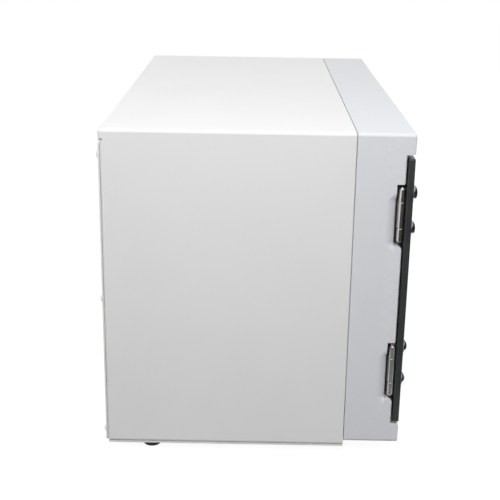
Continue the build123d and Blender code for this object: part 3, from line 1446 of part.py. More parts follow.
os.makedirs("parts", exist_ok=True)
for name, make in NODES.items():
    export_step(make(), f"parts/{name}.step")
for place, height in HINGE_Z.items():
    export_step(hinge_frame_leaf(height), f"parts/{place}_hinge_frame_leaf.step")
    export_step(hinge_door_leaf(height), f"parts/{place}_hinge_door_leaf.step")
    export_step(hinge_pin(height), f"parts/{place}_hinge_pin.step")
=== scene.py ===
import bpy
import json
import math
from mathutils import Matrix, Vector


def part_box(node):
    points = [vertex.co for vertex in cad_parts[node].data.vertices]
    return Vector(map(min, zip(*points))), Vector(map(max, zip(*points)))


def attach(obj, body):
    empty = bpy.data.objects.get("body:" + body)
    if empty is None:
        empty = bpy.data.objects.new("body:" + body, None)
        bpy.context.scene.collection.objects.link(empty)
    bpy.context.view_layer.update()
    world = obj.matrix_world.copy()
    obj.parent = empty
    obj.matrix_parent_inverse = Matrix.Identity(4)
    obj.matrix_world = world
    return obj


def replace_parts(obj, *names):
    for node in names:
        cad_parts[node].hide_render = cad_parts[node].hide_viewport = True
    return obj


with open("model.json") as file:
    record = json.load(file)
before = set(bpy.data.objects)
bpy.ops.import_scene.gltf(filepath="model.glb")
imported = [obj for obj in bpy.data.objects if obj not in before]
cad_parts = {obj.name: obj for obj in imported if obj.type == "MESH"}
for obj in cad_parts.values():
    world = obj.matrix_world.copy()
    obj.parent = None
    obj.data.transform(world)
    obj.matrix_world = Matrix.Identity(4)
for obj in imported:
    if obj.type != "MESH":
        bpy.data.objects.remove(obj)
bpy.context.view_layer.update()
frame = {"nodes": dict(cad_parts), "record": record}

MM = 0.001

# Camera, from a fit of the casing's and bezel's corners in the photograph
CAMERA_AT = (-930.55 * MM, 7.73 * MM, 401.80 * MM)
CAMERA_LENS = 73.39
CAMERA_YAW = math.radians(0.200)
CAMERA_PITCH = math.radians(17.924)
CAMERA_ROLL = math.radians(0.918)

# How meshes are merged, smoothed and bevelled, in millimetres and degrees
WELD = 0.002
SMOOTH_ANGLE = 34
BEVEL_STEPS = 3

# Cross recess of the screws, in millimetres
RECESS_LEN = 3.4
RECESS_W = 0.75
RECESS_DEPTH = 1.5
RECESS_TAPER = 0.35

# Flutes of the timer knob and of the fuse cap, in millimetres
FLUTES = 30
FLUTE_R = 0.9
FLUTE_RING = 14.6
CAP_FLUTES = 24
CAP_FLUTE_R = 0.55
CAP_FLUTE_RING = 6.75

# Print on the control panel and the timer's dial, in millimetres, minutes and degrees
PRINT_T = 0.06
PRINT_BOLD = 0.06
NUMERAL_H = 2.838
NUMERAL_SIZE = 1.35
NUMERAL_RING = 22.3
TICK_RING = 20.3
TICK_W = 0.35
LONG_TICK = 1.5
SHORT_TICK = 0.9
TIMER_SWEEP = 300
DIAL_STEPS = 12
STEP_MINUTES = 5

# Lamp pins and filament coils, in millimetres
LAMP_PIN_SIDE = 2.5
COIL_IN = 22.4
COIL_LEN = 5.0
COIL_R = 0.9
COIL_WIRE_R = 0.18
COIL_TURNS = 7
COIL_STEPS = 12


# Node trees

class Field:
    """A shader socket that takes part in Python arithmetic."""

    def __init__(self, graph, socket):
        self.graph = graph
        self.socket = socket

    def math(self, operation, *others):
        return self.graph.node("ShaderNodeMath", {"operation": operation}, (self, *others))

    def __add__(self, other):
        return self.math("ADD", other)

    def __sub__(self, other):
        return self.math("SUBTRACT", other)

    def __mul__(self, other):
        return self.math("MULTIPLY", other)

    def __rsub__(self, other):
        return self.graph.node("ShaderNodeMath", {"operation": "SUBTRACT"}, (other, self))

    __radd__ = __add__
    __rmul__ = __mul__

    def band(self, low, high):
        """0 below low, 1 above high, smooth between them."""
        settings = {"interpolation_type": "SMOOTHSTEP"}
        return self.graph.node("ShaderNodeMapRange", settings, (self, low, high, 0.0, 1.0))


class Graph:
    """A node tree that is built from values and fields."""

    def __init__(self, tree):
        self.tree = tree

    def feed(self, socket, value):
        if isinstance(value, Field):
            self.tree.links.new(value.socket, socket)
        else:
            socket.default_value = value

    def node(self, kind, settings=None, values=(), output=0):
        """A node with its settings, then the values or fields of its sockets in order or by name."""
        node = self.tree.nodes.new(kind)
        for key, value in (settings or {}).items():
            setattr(node, key, value)
        pairs = values.items() if isinstance(values, dict) else enumerate(values)
        for key, value in pairs:
            self.feed(node.inputs[key], value)
        return Field(self, node.outputs[output])


class Finish(Graph):
    """A procedural finish: one material with a principled shader."""

    def __init__(self, name, color, rough, **constants):
        self.material = bpy.data.materials.new(name)
        self.material.use_nodes = True
        super().__init__(self.material.node_tree)
        self.shader = self.tree.nodes["Principled BSDF"]
        self.color = (*color, 1.0)
        self.set("Base Color", self.color)
        self.set("Roughness", rough)
        for key, value in constants.items():
            self.set(key.replace("_", " "), value)

    def set(self, socket, value):
        """Puts a constant or a field on one of the shader's sockets."""
        self.feed(self.shader.inputs[socket], value)

    def place(self, scale=(1, 1, 1)):
        """Object coordinates, stretched per axis."""
        where = self.node("ShaderNodeTexCoord", output="Object")
        return self.node("ShaderNodeVectorMath", {"operation": "MULTIPLY"}, (where, scale))

    def axis(self, letter):
        """One object coordinate, in metres."""
        return self.node("ShaderNodeSeparateXYZ", None, (self.place(),), "XYZ".index(letter))

    def facing(self, letter):
        """One part of the surface's normal in the object's frame."""
        normal = self.node("ShaderNodeNewGeometry", output="Normal")
        return self.node("ShaderNodeSeparateXYZ", None, (normal,), "XYZ".index(letter))

    def noise(self, per_metre, detail=2.0, stretch=(1, 1, 1)):
        """Noise from 0 to 1 with so many cells in a metre."""
        values = {"Vector": self.place(stretch), "Scale": per_metre, "Detail": detail, "Roughness": 0.5}
        return self.node("ShaderNodeTexNoise", None, values)

    def ridge(self):
        """1 on outer edges, 0 on flat faces: where hands and cloths rub, and where the powder coat paints
        a highlight along its folds.
        """
        return self.node("ShaderNodeNewGeometry", output="Pointiness").band(0.53, 0.62)

    def mix(self, share, first, second):
        """Colour between two colours."""
        values = {"Factor": share, 6: first, 7: second}
        return self.node("ShaderNodeMix", {"data_type": "RGBA"}, values, 2)

    def tint(self, share, color):
        """Mixes another colour over what the base has so far."""
        link = self.shader.inputs["Base Color"].links
        base = Field(self, link[0].from_socket) if link else self.color
        self.set("Base Color", self.mix(share, base, (*color, 1.0)))

    def bump(self, height, depth):
        """Raises the surface by a height field from 0 to 1 over a depth in metres."""
        values = {"Strength": 1.0, "Distance": depth, "Height": height}
        self.set("Normal", self.node("ShaderNodeBump", None, values))


def shade(color, factor):
    """A lighter or darker version of a colour."""
    return tuple(part * factor for part in color)


# Finishes

def powder_coat(name, color, rough=0.42):
    """Satin powder coat: orange peel, faint cloudiness, tiny specks, and edges a little paler, partly wear
    from rubbing and partly a painted highlight along sharp folds.
    """
    coat = Finish(name, color, rough, Specular_IOR_Level=0.32)
    cloud = coat.noise(14, 3)
    coat.tint(cloud.band(0.35, 0.75) * 0.5, shade(color, 0.965))
    speck = coat.noise(2600, 1).band(0.74, 0.80)
    coat.tint(speck * 0.35, shade(color, 0.6))
    # Paler outer edges: partly wear from rubbing, partly a painted highlight along sharp folds such as the
    # casing's front fold.
    paler_edges = coat.ridge() * coat.noise(420, 3).band(0.35, 0.65)
    coat.tint(paler_edges * 0.35, tuple(min(part * 1.1 + 0.02, 0.95) for part in color))
    peel = coat.noise(620, 2) * 0.8 + coat.noise(1900, 1) * 0.2
    coat.set("Roughness", coat.noise(90, 3) * 0.10 + (rough - 0.06) - paler_edges * 0.08)
    coat.bump(peel, 0.00007)
    return coat.material


def moulded(name, color, rough=0.5, grain=1700, depth=0.00005):
    """Moulded plastic with a fine spark grain, polished a little along its edges."""
    skin = Finish(name, color, rough, Specular_IOR_Level=0.4)
    skin.tint(skin.noise(18, 2).band(0.4, 0.8) * 0.4, shade(color, 0.95))
    paler_edges = skin.ridge() * skin.noise(350, 2).band(0.3, 0.7)
    skin.tint(paler_edges * 0.25, tuple(min(part * 1.12 + 0.01, 0.95) for part in color))
    skin.set("Roughness", skin.noise(260, 2) * 0.16 + (rough - 0.08) - paler_edges * 0.12)
    skin.bump(skin.noise(grain, 2), depth)
    return skin.material


def drawn_metal(name, color, rough, along=(1, 1, 0.02), marks=0.2, tarnish=0.85):
    """Metal with fine lines along one axis, cloudy tarnish and edges worn bright."""
    steel = Finish(name, color, rough, Metallic=1.0)
    lines = steel.noise(5200, 2, along)
    cloud = steel.noise(130, 4)
    steel.tint(lines.band(0.3, 0.7) * marks, shade(color, 0.78))
    steel.tint(cloud.band(0.45, 0.75) * 0.7, shade(color, tarnish))
    steel.tint(steel.ridge() * 0.5, tuple(min(part * 1.25, 0.95) for part in color))
    steel.set("Roughness", lines * 0.14 + cloud * 0.12 + (rough - 0.12))
    steel.bump(lines, 0.000012)
    return steel.material


def bright_plate(name, color=(0.86, 0.86, 0.87), rough=0.09):
    """Mirror plating with faint handling haze and pinhead pits."""
    plate = Finish(name, color, rough, Metallic=1.0)
    haze = plate.noise(240, 4)
    pits = plate.noise(3000, 1).band(0.72, 0.78)
    plate.tint(haze.band(0.5, 0.8) * 0.5, shade(color, 0.88))
    plate.tint(pits * 0.4, shade(color, 0.5))
    plate.set("Roughness", haze.band(0.35, 0.8) * 0.12 + pits * 0.2 + (rough - 0.03))
    plate.bump(plate.noise(900, 2), 0.000006)
    return plate.material


def soft_rubber(name, color):
    """Matt rubber with a dusty bloom."""
    rubber = Finish(name, color, 0.72, Specular_IOR_Level=0.3)
    bloom = rubber.noise(160, 4)
    rubber.tint(bloom.band(0.5, 0.8) * 0.5, tuple(part * 1.5 + 0.01 for part in color))
    rubber.tint(rubber.ridge() * 0.4, tuple(part * 1.8 + 0.015 for part in color))
    rubber.set("Roughness", bloom * 0.2 + 0.62)
    rubber.bump(rubber.noise(1500, 3), 0.00006)
    return rubber.material


def tinted_sheet(name, color):
    """Dark tinted sheet: glossy faces, and sawn edges that are paler and duller."""
    sheet = Finish(name, color, 0.06, Alpha=0.93, Coat_Weight=0.4, Coat_Roughness=0.03)
    across = sheet.facing("Y").math("ABSOLUTE")
    edge = 1 - across.band(0.35, 0.75)
    saw = sheet.noise(2400, 2, (1, 1, 0.05))
    sheet.tint(edge * (saw * 0.3 + 0.7), EDGE_TINT)
    wiped = sheet.noise(9, 3, (1, 1, 0.35)).band(0.55, 0.8)
    sheet.set("Roughness", edge * (saw * 0.2 + 0.3) + sheet.noise(60, 3) * 0.04 + wiped * 0.05 + 0.04)
    sheet.bump(saw * edge, 0.00003)
    return sheet.material


def clear_tube(name):
    """Clear quartz with a faint haze and darker bands where the cathodes burn."""
    tube = Finish(name, (0.93, 0.96, 1.0), 0.03, Alpha=0.28, IOR=1.46)
    tube.tint(tube.noise(120, 3).band(0.5, 0.9) * 0.4, (0.8, 0.86, 0.92))
    middle, half = lamp_span()
    burn = (tube.axis("X") - middle).math("ABSOLUTE").band(half - 22 * MM, half - 8 * MM)
    tube.tint(burn * 0.6, (0.35, 0.33, 0.34))
    tube.set("Alpha", burn * 0.25 + 0.26)
    tube.set("Roughness", tube.noise(300, 2) * 0.05 + 0.02)
    return tube.material


def lamp_span():
    """Middle and half length of the lamp tube along X."""
    low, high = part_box("uv_lamp_tube")
    return (low.x + high.x) / 2, (high.x - low.x) / 2


def lamp_lens(name, color):
    """Coloured translucent lens, deeper in colour between its ribs."""
    lens = Finish(name, color, 0.12, Coat_Weight=0.6, IOR=1.49)
    lens.tint(lens.noise(300, 2).band(0.4, 0.8) * 0.3, shade(color, 0.75))
    lens.tint(lens.ridge() * 0.5, tuple(min(part * 1.3 + 0.05, 1.0) for part in color))
    lens.set("Roughness", lens.noise(700, 2) * 0.08 + 0.08)
    return lens.material


def screen_print(name, color):
    """Pale printing ink, slightly uneven and rubbed thin in places."""
    ink = Finish(name, color, 0.55, Specular_IOR_Level=0.35)
    ink.tint(ink.noise(900, 3).band(0.5, 0.8) * 0.3, shade(color, 0.8))
    ink.set("Roughness", ink.noise(1200, 2) * 0.15 + 0.48)
    ink.bump(ink.noise(4000, 2), 0.00001)
    return ink.material


CASING = (0.815, 0.82, 0.81)
BEZEL = (0.72, 0.735, 0.765)
EDGE_TINT = (0.014, 0.0175, 0.0175)
FINISHES = {
    "casing_paint": powder_coat("casing_paint", CASING),
    "bezel_plastic": moulded("bezel_plastic", BEZEL, 0.46),
    "screws": drawn_metal("screws", (0.74, 0.74, 0.73), 0.32, (1, 1, 1), 0.3),
    "foot_rubber": soft_rubber("foot_rubber", (0.018, 0.018, 0.018)),
    "stainless": drawn_metal("stainless", (0.70, 0.70, 0.69), 0.34, (0.02, 1, 1), 0.3),
    "rack_wire": bright_plate("rack_wire", (0.78, 0.78, 0.78), 0.16),
    "reflector": bright_plate("reflector", (0.86, 0.87, 0.88), 0.14),
    "holder_plastic": moulded("holder_plastic", (0.82, 0.82, 0.78), 0.34, 900, 0.00002),
    "lamp_quartz": clear_tube("lamp_quartz"),
    "lamp_cap": drawn_metal("lamp_cap", (0.74, 0.74, 0.75), 0.3, (0.03, 1, 1), 0.35),
    "door_tint": tinted_sheet("door_tint", (0.008, 0.0095, 0.0095)),
    "hinge_nickel": drawn_metal("hinge_nickel", (0.60, 0.58, 0.545), 0.16, (1, 1, 0.05), 0.4, 0.7),
    "bright_chrome": bright_plate("bright_chrome"),
    "nut_steel": drawn_metal("nut_steel", (0.66, 0.66, 0.66), 0.34, (1, 1, 1), 0.3),
    "pad_rubber": soft_rubber("pad_rubber", (0.09, 0.095, 0.095)),
    "control_plate": powder_coat("control_plate", (0.028, 0.03, 0.032)),
    "black_plastic": moulded("black_plastic", (0.018, 0.018, 0.019), 0.42, 1500, 0.00004),
    "rocker_plastic": moulded("rocker_plastic", (0.02, 0.02, 0.021), 0.2, 600, 0.00001),
    "lens": lamp_lens("lens", (0.72, 0.16, 0.02)),
    "plunger_plastic": moulded("plunger_plastic", (0.78, 0.78, 0.75), 0.3, 800, 0.00001),
    "magnet": drawn_metal("magnet", (0.08, 0.08, 0.085), 0.5, (1, 1, 1), 0.4),
    "ballast_steel": powder_coat("ballast_steel", (0.40, 0.41, 0.40)),
    "loom_sleeve": soft_rubber("loom_sleeve", (0.02, 0.02, 0.02)),
    "brass_pins": drawn_metal("brass_pins", (0.72, 0.62, 0.40), 0.26, (1, 0.05, 1), 0.3),
}
PRINT_INK = screen_print("print_ink", (0.80, 0.80, 0.78))
# Near-black steel for the hinge backplates: painted shade that makes the hinge notches read dark.
NOTCH_SHADE_STEEL = drawn_metal("notch_shade_steel", (0.05, 0.05, 0.052), 0.5, (1, 1, 0.05), 0.4)
NODE_SLOT = {part["node"]: part["material_slot"] for part in frame["record"]["subparts"]}
BODIES = frame["record"]["behaviour"]["bodies"]
NODE_BODY = {node: body for body, nodes in BODIES.items() for node in nodes}


def paint(piece, finish):
    """Gives a piece one finish all over."""
    piece.data.materials.clear()
    piece.data.materials.append(finish)


for name, node in frame["nodes"].items():
    paint(node, FINISHES[NODE_SLOT[name]])


# Modelling helpers, in millimetres

def pick(*pieces):
    """Selects only these pieces, the first one active."""
    bpy.ops.object.select_all(action="DESELECT")
    for piece in pieces:
        piece.select_set(True)
    bpy.context.view_layer.objects.active = pieces[0]


def settle(piece):
    """Puts a piece's place into its mesh and its origin at the frame's origin."""
    pick(piece)
    bpy.ops.object.transform_apply(location=True, rotation=True, scale=True)


def mount(piece, node, finish=None):
    """Fixes a finished piece to the body of a node, with that node's finish or another."""
    settle(piece)
    paint(piece, finish or FINISHES[NODE_SLOT[node]])
    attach(piece, NODE_BODY[node])
    return piece


def smooth(piece):
    """Smooth shading over soft edges, with flat faces kept flat."""
    pick(piece)
    bpy.ops.object.shade_smooth_by_angle(angle=math.radians(SMOOTH_ANGLE))
    bpy.ops.object.modifier_add(type="WEIGHTED_NORMAL")
    piece.modifiers[-1].keep_sharp = True
    bpy.ops.object.modifier_apply(modifier=piece.modifiers[-1].name)


def soften(piece, width):
    """Rounds every sharp edge."""
    pick(piece)
    bpy.ops.object.modifier_add(type="BEVEL")
    bevel = piece.modifiers[-1]
    bevel.width = width * MM
    bevel.segments = BEVEL_STEPS
    bevel.limit_method = "ANGLE"
    bevel.angle_limit = math.radians(SMOOTH_ANGLE)
    bpy.ops.object.modifier_apply(modifier=bevel.name)


def merged(piece, recalculate=False):
    """Merges a piece's doubled points, and turns its faces outwards where asked."""
    pick(piece)
    bpy.ops.object.mode_set(mode="EDIT")
    bpy.ops.mesh.select_all(action="SELECT")
    bpy.ops.mesh.remove_doubles(threshold=WELD * MM)
    if recalculate:
        bpy.ops.mesh.normals_make_consistent(inside=False)
    bpy.ops.object.mode_set(mode="OBJECT")
    return piece


def copy_of(node):
    """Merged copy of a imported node's mesh."""
    piece = bpy.data.objects.new(node + "_skin", frame["nodes"][node].data.copy())
    bpy.context.collection.objects.link(piece)
    return merged(piece)


def dressed(node, edge=0.0, finish=None):
    """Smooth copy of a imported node, its sharp edges rounded, that stands for the node."""
    piece = copy_of(node)
    if edge:
        soften(piece, edge)
    smooth(piece)
    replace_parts(mount(piece, node, finish), node)


def corners(piece):
    """Lowest and highest corner of a mesh."""
    points = [vertex.co for vertex in piece.data.vertices]
    low = Vector([min(point[i] for point in points) for i in range(3)])
    return low, Vector([max(point[i] for point in points) for i in range(3)])


def solids(node):
    """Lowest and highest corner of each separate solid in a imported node."""
    pick(copy_of(node))
    bpy.ops.object.mode_set(mode="EDIT")
    bpy.ops.mesh.select_all(action="SELECT")
    bpy.ops.mesh.separate(type="LOOSE")
    bpy.ops.object.mode_set(mode="OBJECT")
    found = [corners(piece) for piece in bpy.context.selected_objects]
    bpy.ops.object.delete()
    return found


def seat(box, out):
    """Middle of a box's face on the side that a direction points to."""
    low, high = box
    side = Vector([(high[i] - low[i]) / 2 * out[i] for i in range(3)])
    return (low + high) / 2 + side


def turned(name, outline, steps=48):
    """Closed shape spun round Z from (radius, height) points."""
    mesh = bpy.data.meshes.new(name)
    points = [(radius * MM, 0, height * MM) for radius, height in outline]
    mesh.from_pydata(points, [(i, i + 1) for i in range(len(points) - 1)], [])
    piece = bpy.data.objects.new(name, mesh)
    bpy.context.collection.objects.link(piece)
    pick(piece)
    bpy.ops.object.mode_set(mode="EDIT")
    bpy.ops.mesh.select_all(action="SELECT")
    bpy.ops.mesh.spin(steps=steps, angle=math.tau, center=(0, 0, 0), axis=(0, 0, 1))
    bpy.ops.object.mode_set(mode="OBJECT")
    return merged(piece, recalculate=True)


def block(name, low, high):
    """Cuboid between two corners."""
    centre = [(a + b) / 2 * MM for a, b in zip(low, high)]
    bpy.ops.mesh.primitive_cube_add(size=1, location=centre)
    piece = bpy.context.object
    piece.name = name
    piece.scale = [(b - a) * MM for a, b in zip(low, high)]
    settle(piece)
    return piece


def again(piece):
    """Copy of a piece with its own mesh."""
    pick(piece)
    bpy.ops.object.duplicate(linked=False)
    return bpy.context.object


def aim(piece, at, out):
    """Moves a piece from the origin to a place, its Z turned to a direction."""
    turn = Vector((0, 0, 1)).rotation_difference(Vector(out)).to_matrix().to_4x4()
    piece.matrix_world = Matrix.Translation(at) @ turn
    settle(piece)
    return piece


def joined(pieces, name):
    """Several pieces made one."""
    pick(*pieces)
    if len(pieces) > 1:
        bpy.ops.object.join()
    bpy.context.object.name = name
    return bpy.context.object


def cut(piece, *cutters):
    """Takes the cutters' shapes out of a piece."""
    for cutter in cutters:
        pick(piece)
        bpy.ops.object.modifier_add(type="BOOLEAN")
        hole = piece.modifiers[-1]
        hole.operation = "DIFFERENCE"
        hole.object = cutter
        bpy.ops.object.modifier_apply(modifier=hole.name)
        bpy.data.objects.remove(cutter)
    return piece


def ring_of(piece, count):
    """Copies of a piece set evenly round Z, joined."""
    copies = [piece]
    for i in range(1, count):
        copy = again(piece)
        copy.matrix_world = Matrix.Rotation(math.tau * i / count, 4, "Z")
        settle(copy)
        copies.append(copy)
    return joined(copies, piece.name)


def settle_on(master, node, out):
    """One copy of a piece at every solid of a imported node, joined, standing for that node."""
    copies = [aim(again(master), seat(box, out), out) for box in solids(node)]
    piece = joined(copies, node + "_detail")
    smooth(piece)
    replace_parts(mount(piece, node), node)


# Sheet metal, mouldings and other pieces that keep their packed form

SOFT_EDGES = {
    "outer_casing": 0.0, "back_panel": 0.2, "base_plate": 0.2, "front_bezel": 0.25, "door_panel": 0.0,
    "chamber_liner": 0.2, "control_panel": 0.25, "door_nuts": 0.25, "upper_hinge_frame_leaf": 0.3,
    "upper_hinge_door_leaf": 0.3, "lower_hinge_frame_leaf": 0.3, "lower_hinge_door_leaf": 0.3,
    "lampholders": 0.5, "mains_inlet": 0.3, "inlet_pins": 0.3, "fuse_holder": 0.4, "magnetic_catch": 0.4,
    "striker_plate": 0.2, "interlock_plunger": 0.3, "rocker_switch_body": 0.35, "power_rocker": 0.35,
    "door_bumpers": 0.3, "hinge_pads": 0.0, "ballast": 0.6, "starter": 0.0, "starter_socket": 0.3,
    "terminal_block": 0.3, "rack_rails": 0.2, "lamp_reflector": 0.15, "uv_lamp_tube": 0.0,
    "wire_rack": 0.0, "lamp_guard": 0.0, "wiring_loom": 0.0, "timer_nut": 0.2, "timer_shaft": 0.2,
    "liner_stand": 0.2,
}
for name, edge in SOFT_EDGES.items():
    dressed(name, edge)
# The hinge backplates get the near-black steel, a painted shade inside the hinge notches.
dressed("hinge_backplates", 0.1, NOTCH_SHADE_STEEL)


# Screws

def cross_blade(along):
    """Tapered half of a screw's cross recess, cut down from the head's top."""
    across = (RECESS_LEN / 2, RECESS_W / 2) if along == "X" else (RECESS_W / 2, RECESS_LEN / 2)
    blade = block("blade", (-across[0], -across[1], -RECESS_DEPTH), (*across, RECESS_DEPTH))
    pick(blade)
    bpy.ops.object.mode_set(mode="EDIT")
    bpy.ops.mesh.select_all(action="DESELECT")
    bpy.ops.object.mode_set(mode="OBJECT")
    for vertex in blade.data.vertices:
        vertex.select = vertex.co.z < 0
    bpy.ops.object.mode_set(mode="EDIT")
    bpy.ops.transform.resize(value=(RECESS_TAPER, RECESS_TAPER, 1))
    bpy.ops.object.mode_set(mode="OBJECT")
    return blade


def crossed(screw):
    """Cuts the cross recess into a screw whose head ends at the origin."""
    for along in "XY":
        cut(screw, cross_blade(along))
    return screw


def pan_screw():
    """Pan head screw pointing up, the top of its head at the origin."""
    outline = [(0, 0), (1.2, -0.04), (2.0, -0.32), (2.5, -0.78), (2.8, -1.4), (2.9, -2.0), (2.82, -2.2),
               (1.5, -2.2), (1.5, -9.6), (1.05, -10.2), (0, -10.2)]
    return crossed(turned("pan_screw", outline, 40))


def flush_screw(head_r, shank_r, length):
    """Flush screw pointing up, the top of its head at the origin."""
    outline = [(0, 0), (head_r - 0.15, 0), (head_r, -0.12), (shank_r, shank_r - head_r),
               (shank_r, 0.5 - length), (shank_r - 0.4, -length), (0, -length)]
    return crossed(turned("flush_screw", outline, 40))


def finish_screws():
    """Every screw with a head that shows."""
    screw = pan_screw()
    for node, out in (("back_panel_screws", (0, 1, 0)), ("base_plate_screws", (0, 0, -1)),
                      ("foot_screws", (0, 0, -1)), ("control_panel_screws", (0, -1, 0)),
                      ("inlet_screws", (0, 1, 0)), ("liner_screws", (0, -1, 0))):
        settle_on(screw, node, out)
    bpy.data.objects.remove(screw)
    for node, out, head_r, shank_r, length in (("hinge_leaf_screws", (0, -1, 0), 3.0, 1.5, 8.0),
                                               ("knob_screw", (0, 1, 0), 4.0, 2.0, 16.0)):
        screw = flush_screw(head_r, shank_r, length)
        settle_on(screw, node, out)
        bpy.data.objects.remove(screw)


# Hinges and door bolts

def door_bolt():
    """Domed cap bolt pointing up: a rolled rim, a fine groove and a low dome over its stud."""
    outline = [(0, 0), (1.6, -0.06), (3.2, -0.38), (4.6, -1.0), (5.8, -1.9), (6.6, -2.8), (7.0, -3.5),
               (7.1, -3.85), (7.0, -3.95), (7.35, -4.0), (7.65, -4.15), (7.75, -4.5), (7.7, -4.85),
               (7.5, -5.0), (2.0, -5.0), (2.0, -13.8), (1.6, -14.2), (0, -14.2)]
    return turned("door_bolt", outline, 64)


def hinge_pin(node):
    """Pin with a ringed head at each end."""
    low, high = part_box(node)
    length = (high.z - low.z) / MM
    head = [(0, -0.2), (0.6, -0.25), (0.8, -0.6), (1.15, -0.65), (1.3, -0.15), (1.55, 0), (1.8, -0.12),
            (1.9, -0.35), (1.9, -0.8), (1.3, -0.8)]
    foot = [(radius, -length - height) for radius, height in reversed(head)]
    pin = turned("hinge_pin", head + foot, 40)
    aim(pin, ((low.x + high.x) / 2, (low.y + high.y) / 2, high.z), (0, 0, 1))
    smooth(pin)
    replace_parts(mount(pin, node), node)


def finish_hinges():
    """Door bolts and hinge pins."""
    bolt = door_bolt()
    settle_on(bolt, "door_bolts", (0, -1, 0))
    bpy.data.objects.remove(bolt)
    for node in ("upper_hinge_pin", "lower_hinge_pin"):
        hinge_pin(node)


# Door knob

def finish_door_knob():
    """Turned knob: washer foot, waisted neck, grooved rim and a dished face."""
    outline = [(0, -0.7), (4.5, -0.6), (6.8, -0.15), (7.6, 0), (8.6, -0.2), (9.5, -0.9), (9.95, -2.0),
               (10.0, -3.2), (9.95, -4.6), (9.55, -4.75), (9.55, -5.15), (9.95, -5.3), (10.0, -7.0),
               (9.7, -8.6), (8.6, -10.0), (6.9, -11.2), (5.7, -12.8), (5.4, -15.0), (5.6, -17.4),
               (6.3, -19.2), (7.3, -20.2), (7.9, -20.6), (8.0, -21.0), (8.0, -21.9), (7.9, -22.0),
               (0, -22.0)]
    knob = turned("door_knob_body", outline, 72)
    aim(knob, seat(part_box("door_knob"), (0, -1, 0)), (0, -1, 0))
    smooth(knob)
    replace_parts(mount(knob, "door_knob"), "door_knob")


# Timer knob, its dial and the other controls

def fluted(piece, count, radius, ring, low, high):
    """Cuts upright flutes round a turned piece."""
    bpy.ops.mesh.primitive_cylinder_add(vertices=14, radius=radius * MM, depth=(high - low) * MM,
                                        location=(ring * MM, 0, (low + high) / 2 * MM))
    flute = bpy.context.object
    settle(flute)
    return cut(piece, ring_of(flute, count))


def finish_timer_knob():
    """Knob with a skirt, a fluted grip, a raised pointer bar and its pale line."""
    outline = [(0, 0.4), (11.0, 0.4), (11.6, 0.0), (12.6, -0.1), (13.3, -0.7), (13.7, -1.6),
               (14.9, -11.2), (15.4, -12.0), (17.4, -12.9), (18.6, -13.5), (19.0, -14.2), (19.0, -14.9),
               (18.8, -15.0), (0, -15.0)]
    low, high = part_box("timer_knob")
    face = Vector(((low.x + high.x) / 2, low.y + 0.8 * MM, (low.z + high.z) / 2))
    knob = turned("timer_grip", outline, 96)
    fluted(knob, FLUTES, FLUTE_R, FLUTE_RING, -11.4, 1.0)
    bar = block("pointer_bar", (-1.2, 0, -0.5), (1.2, 11.3, 0.8))
    soften(bar, 0.3)
    line = block("pointer_line", (-0.35, 3.5, 0.5), (0.35, 10.8, 0.8 + PRINT_T))
    for piece in (knob, bar, line):
        aim(piece, face, (0, -1, 0))
    knob = joined([knob, bar], "timer_grip")
    smooth(knob)
    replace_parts(mount(knob, "timer_knob"), "timer_knob")
    mount(line, "timer_knob", PRINT_INK)


def on_panel(x, z):
    """The middle of a print on the control panel's face, from the timer's middle, in millimetres."""
    low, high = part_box("timer_knob")
    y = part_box("control_panel")[0].y
    return Vector(((low.x + high.x) / 2 + x * MM, y - PRINT_T / 2 * MM, (low.z + high.z) / 2 + z * MM))


def print_text(words, x, z):
    """Printed numeral on the control panel, as a thin mesh."""
    bpy.ops.object.text_add(location=(0, 0, 0))
    label = bpy.context.object
    label.data.body = words
    label.data.size = NUMERAL_H * MM * NUMERAL_SIZE
    label.data.align_x = "CENTER"
    label.data.align_y = "CENTER"
    label.data.extrude = PRINT_T / 2 * MM
    label.data.offset = PRINT_BOLD * MM
    pick(label)
    bpy.ops.object.convert(target="MESH")
    label = bpy.context.object
    label.matrix_world = Matrix.Translation(on_panel(x, z)) @ Matrix.Rotation(math.pi / 2, 4, "X")
    settle(label)
    return label


def print_bar(x, z, length, angle):
    """Printed tick on the control panel, turned from upright."""
    half = Vector((TICK_W, PRINT_T, length)) / 2
    bar = block("stroke", -half, half)
    bar.matrix_world = Matrix.Translation(on_panel(x, z)) @ Matrix.Rotation(angle, 4, "Y")
    settle(bar)
    return bar


def finish_dial():
    """Minutes and ticks printed round the timer knob, with a numeral at every long tick."""
    prints = []
    for step in range(DIAL_STEPS + 1):
        angle = math.radians(TIMER_SWEEP * step / DIAL_STEPS)
        out = Vector((math.sin(angle), math.cos(angle)))
        long = step % 2 == 0
        length = LONG_TICK if long else SHORT_TICK
        prints.append(print_bar(*(out * (TICK_RING - length / 2)), length, angle))
        if long:
            prints.append(print_text(str(step * STEP_MINUTES), *(out * NUMERAL_RING)))
    mount(joined(prints, "dial_print"), "control_panel", PRINT_INK)


def finish_switch():
    """On and off marks on the rocker's two sloping faces."""
    at = seat(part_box("power_rocker"), (0, -1, 0))
    half = PRINT_T / 2
    stroke = block("on_mark", (-0.3, -half, -1.3), (0.3, half, 1.3))
    ring = turned("off_mark", [(1.0, -half), (1.45, -half), (1.45, half), (1.0, half), (1.0, -half)], 32)
    aim(ring, (0, 0, 0), (0, -1, 0))
    for mark, rise, sink, slope in ((stroke, 3.6, 0.81, 13.5), (ring, -3.8, 1.87, 3.0)):
        spot = at + Vector((0, sink * MM, rise * MM))
        mark.matrix_world = Matrix.Translation(spot) @ Matrix.Rotation(math.radians(slope), 4, "X")
        mount(mark, "power_rocker", PRINT_INK)


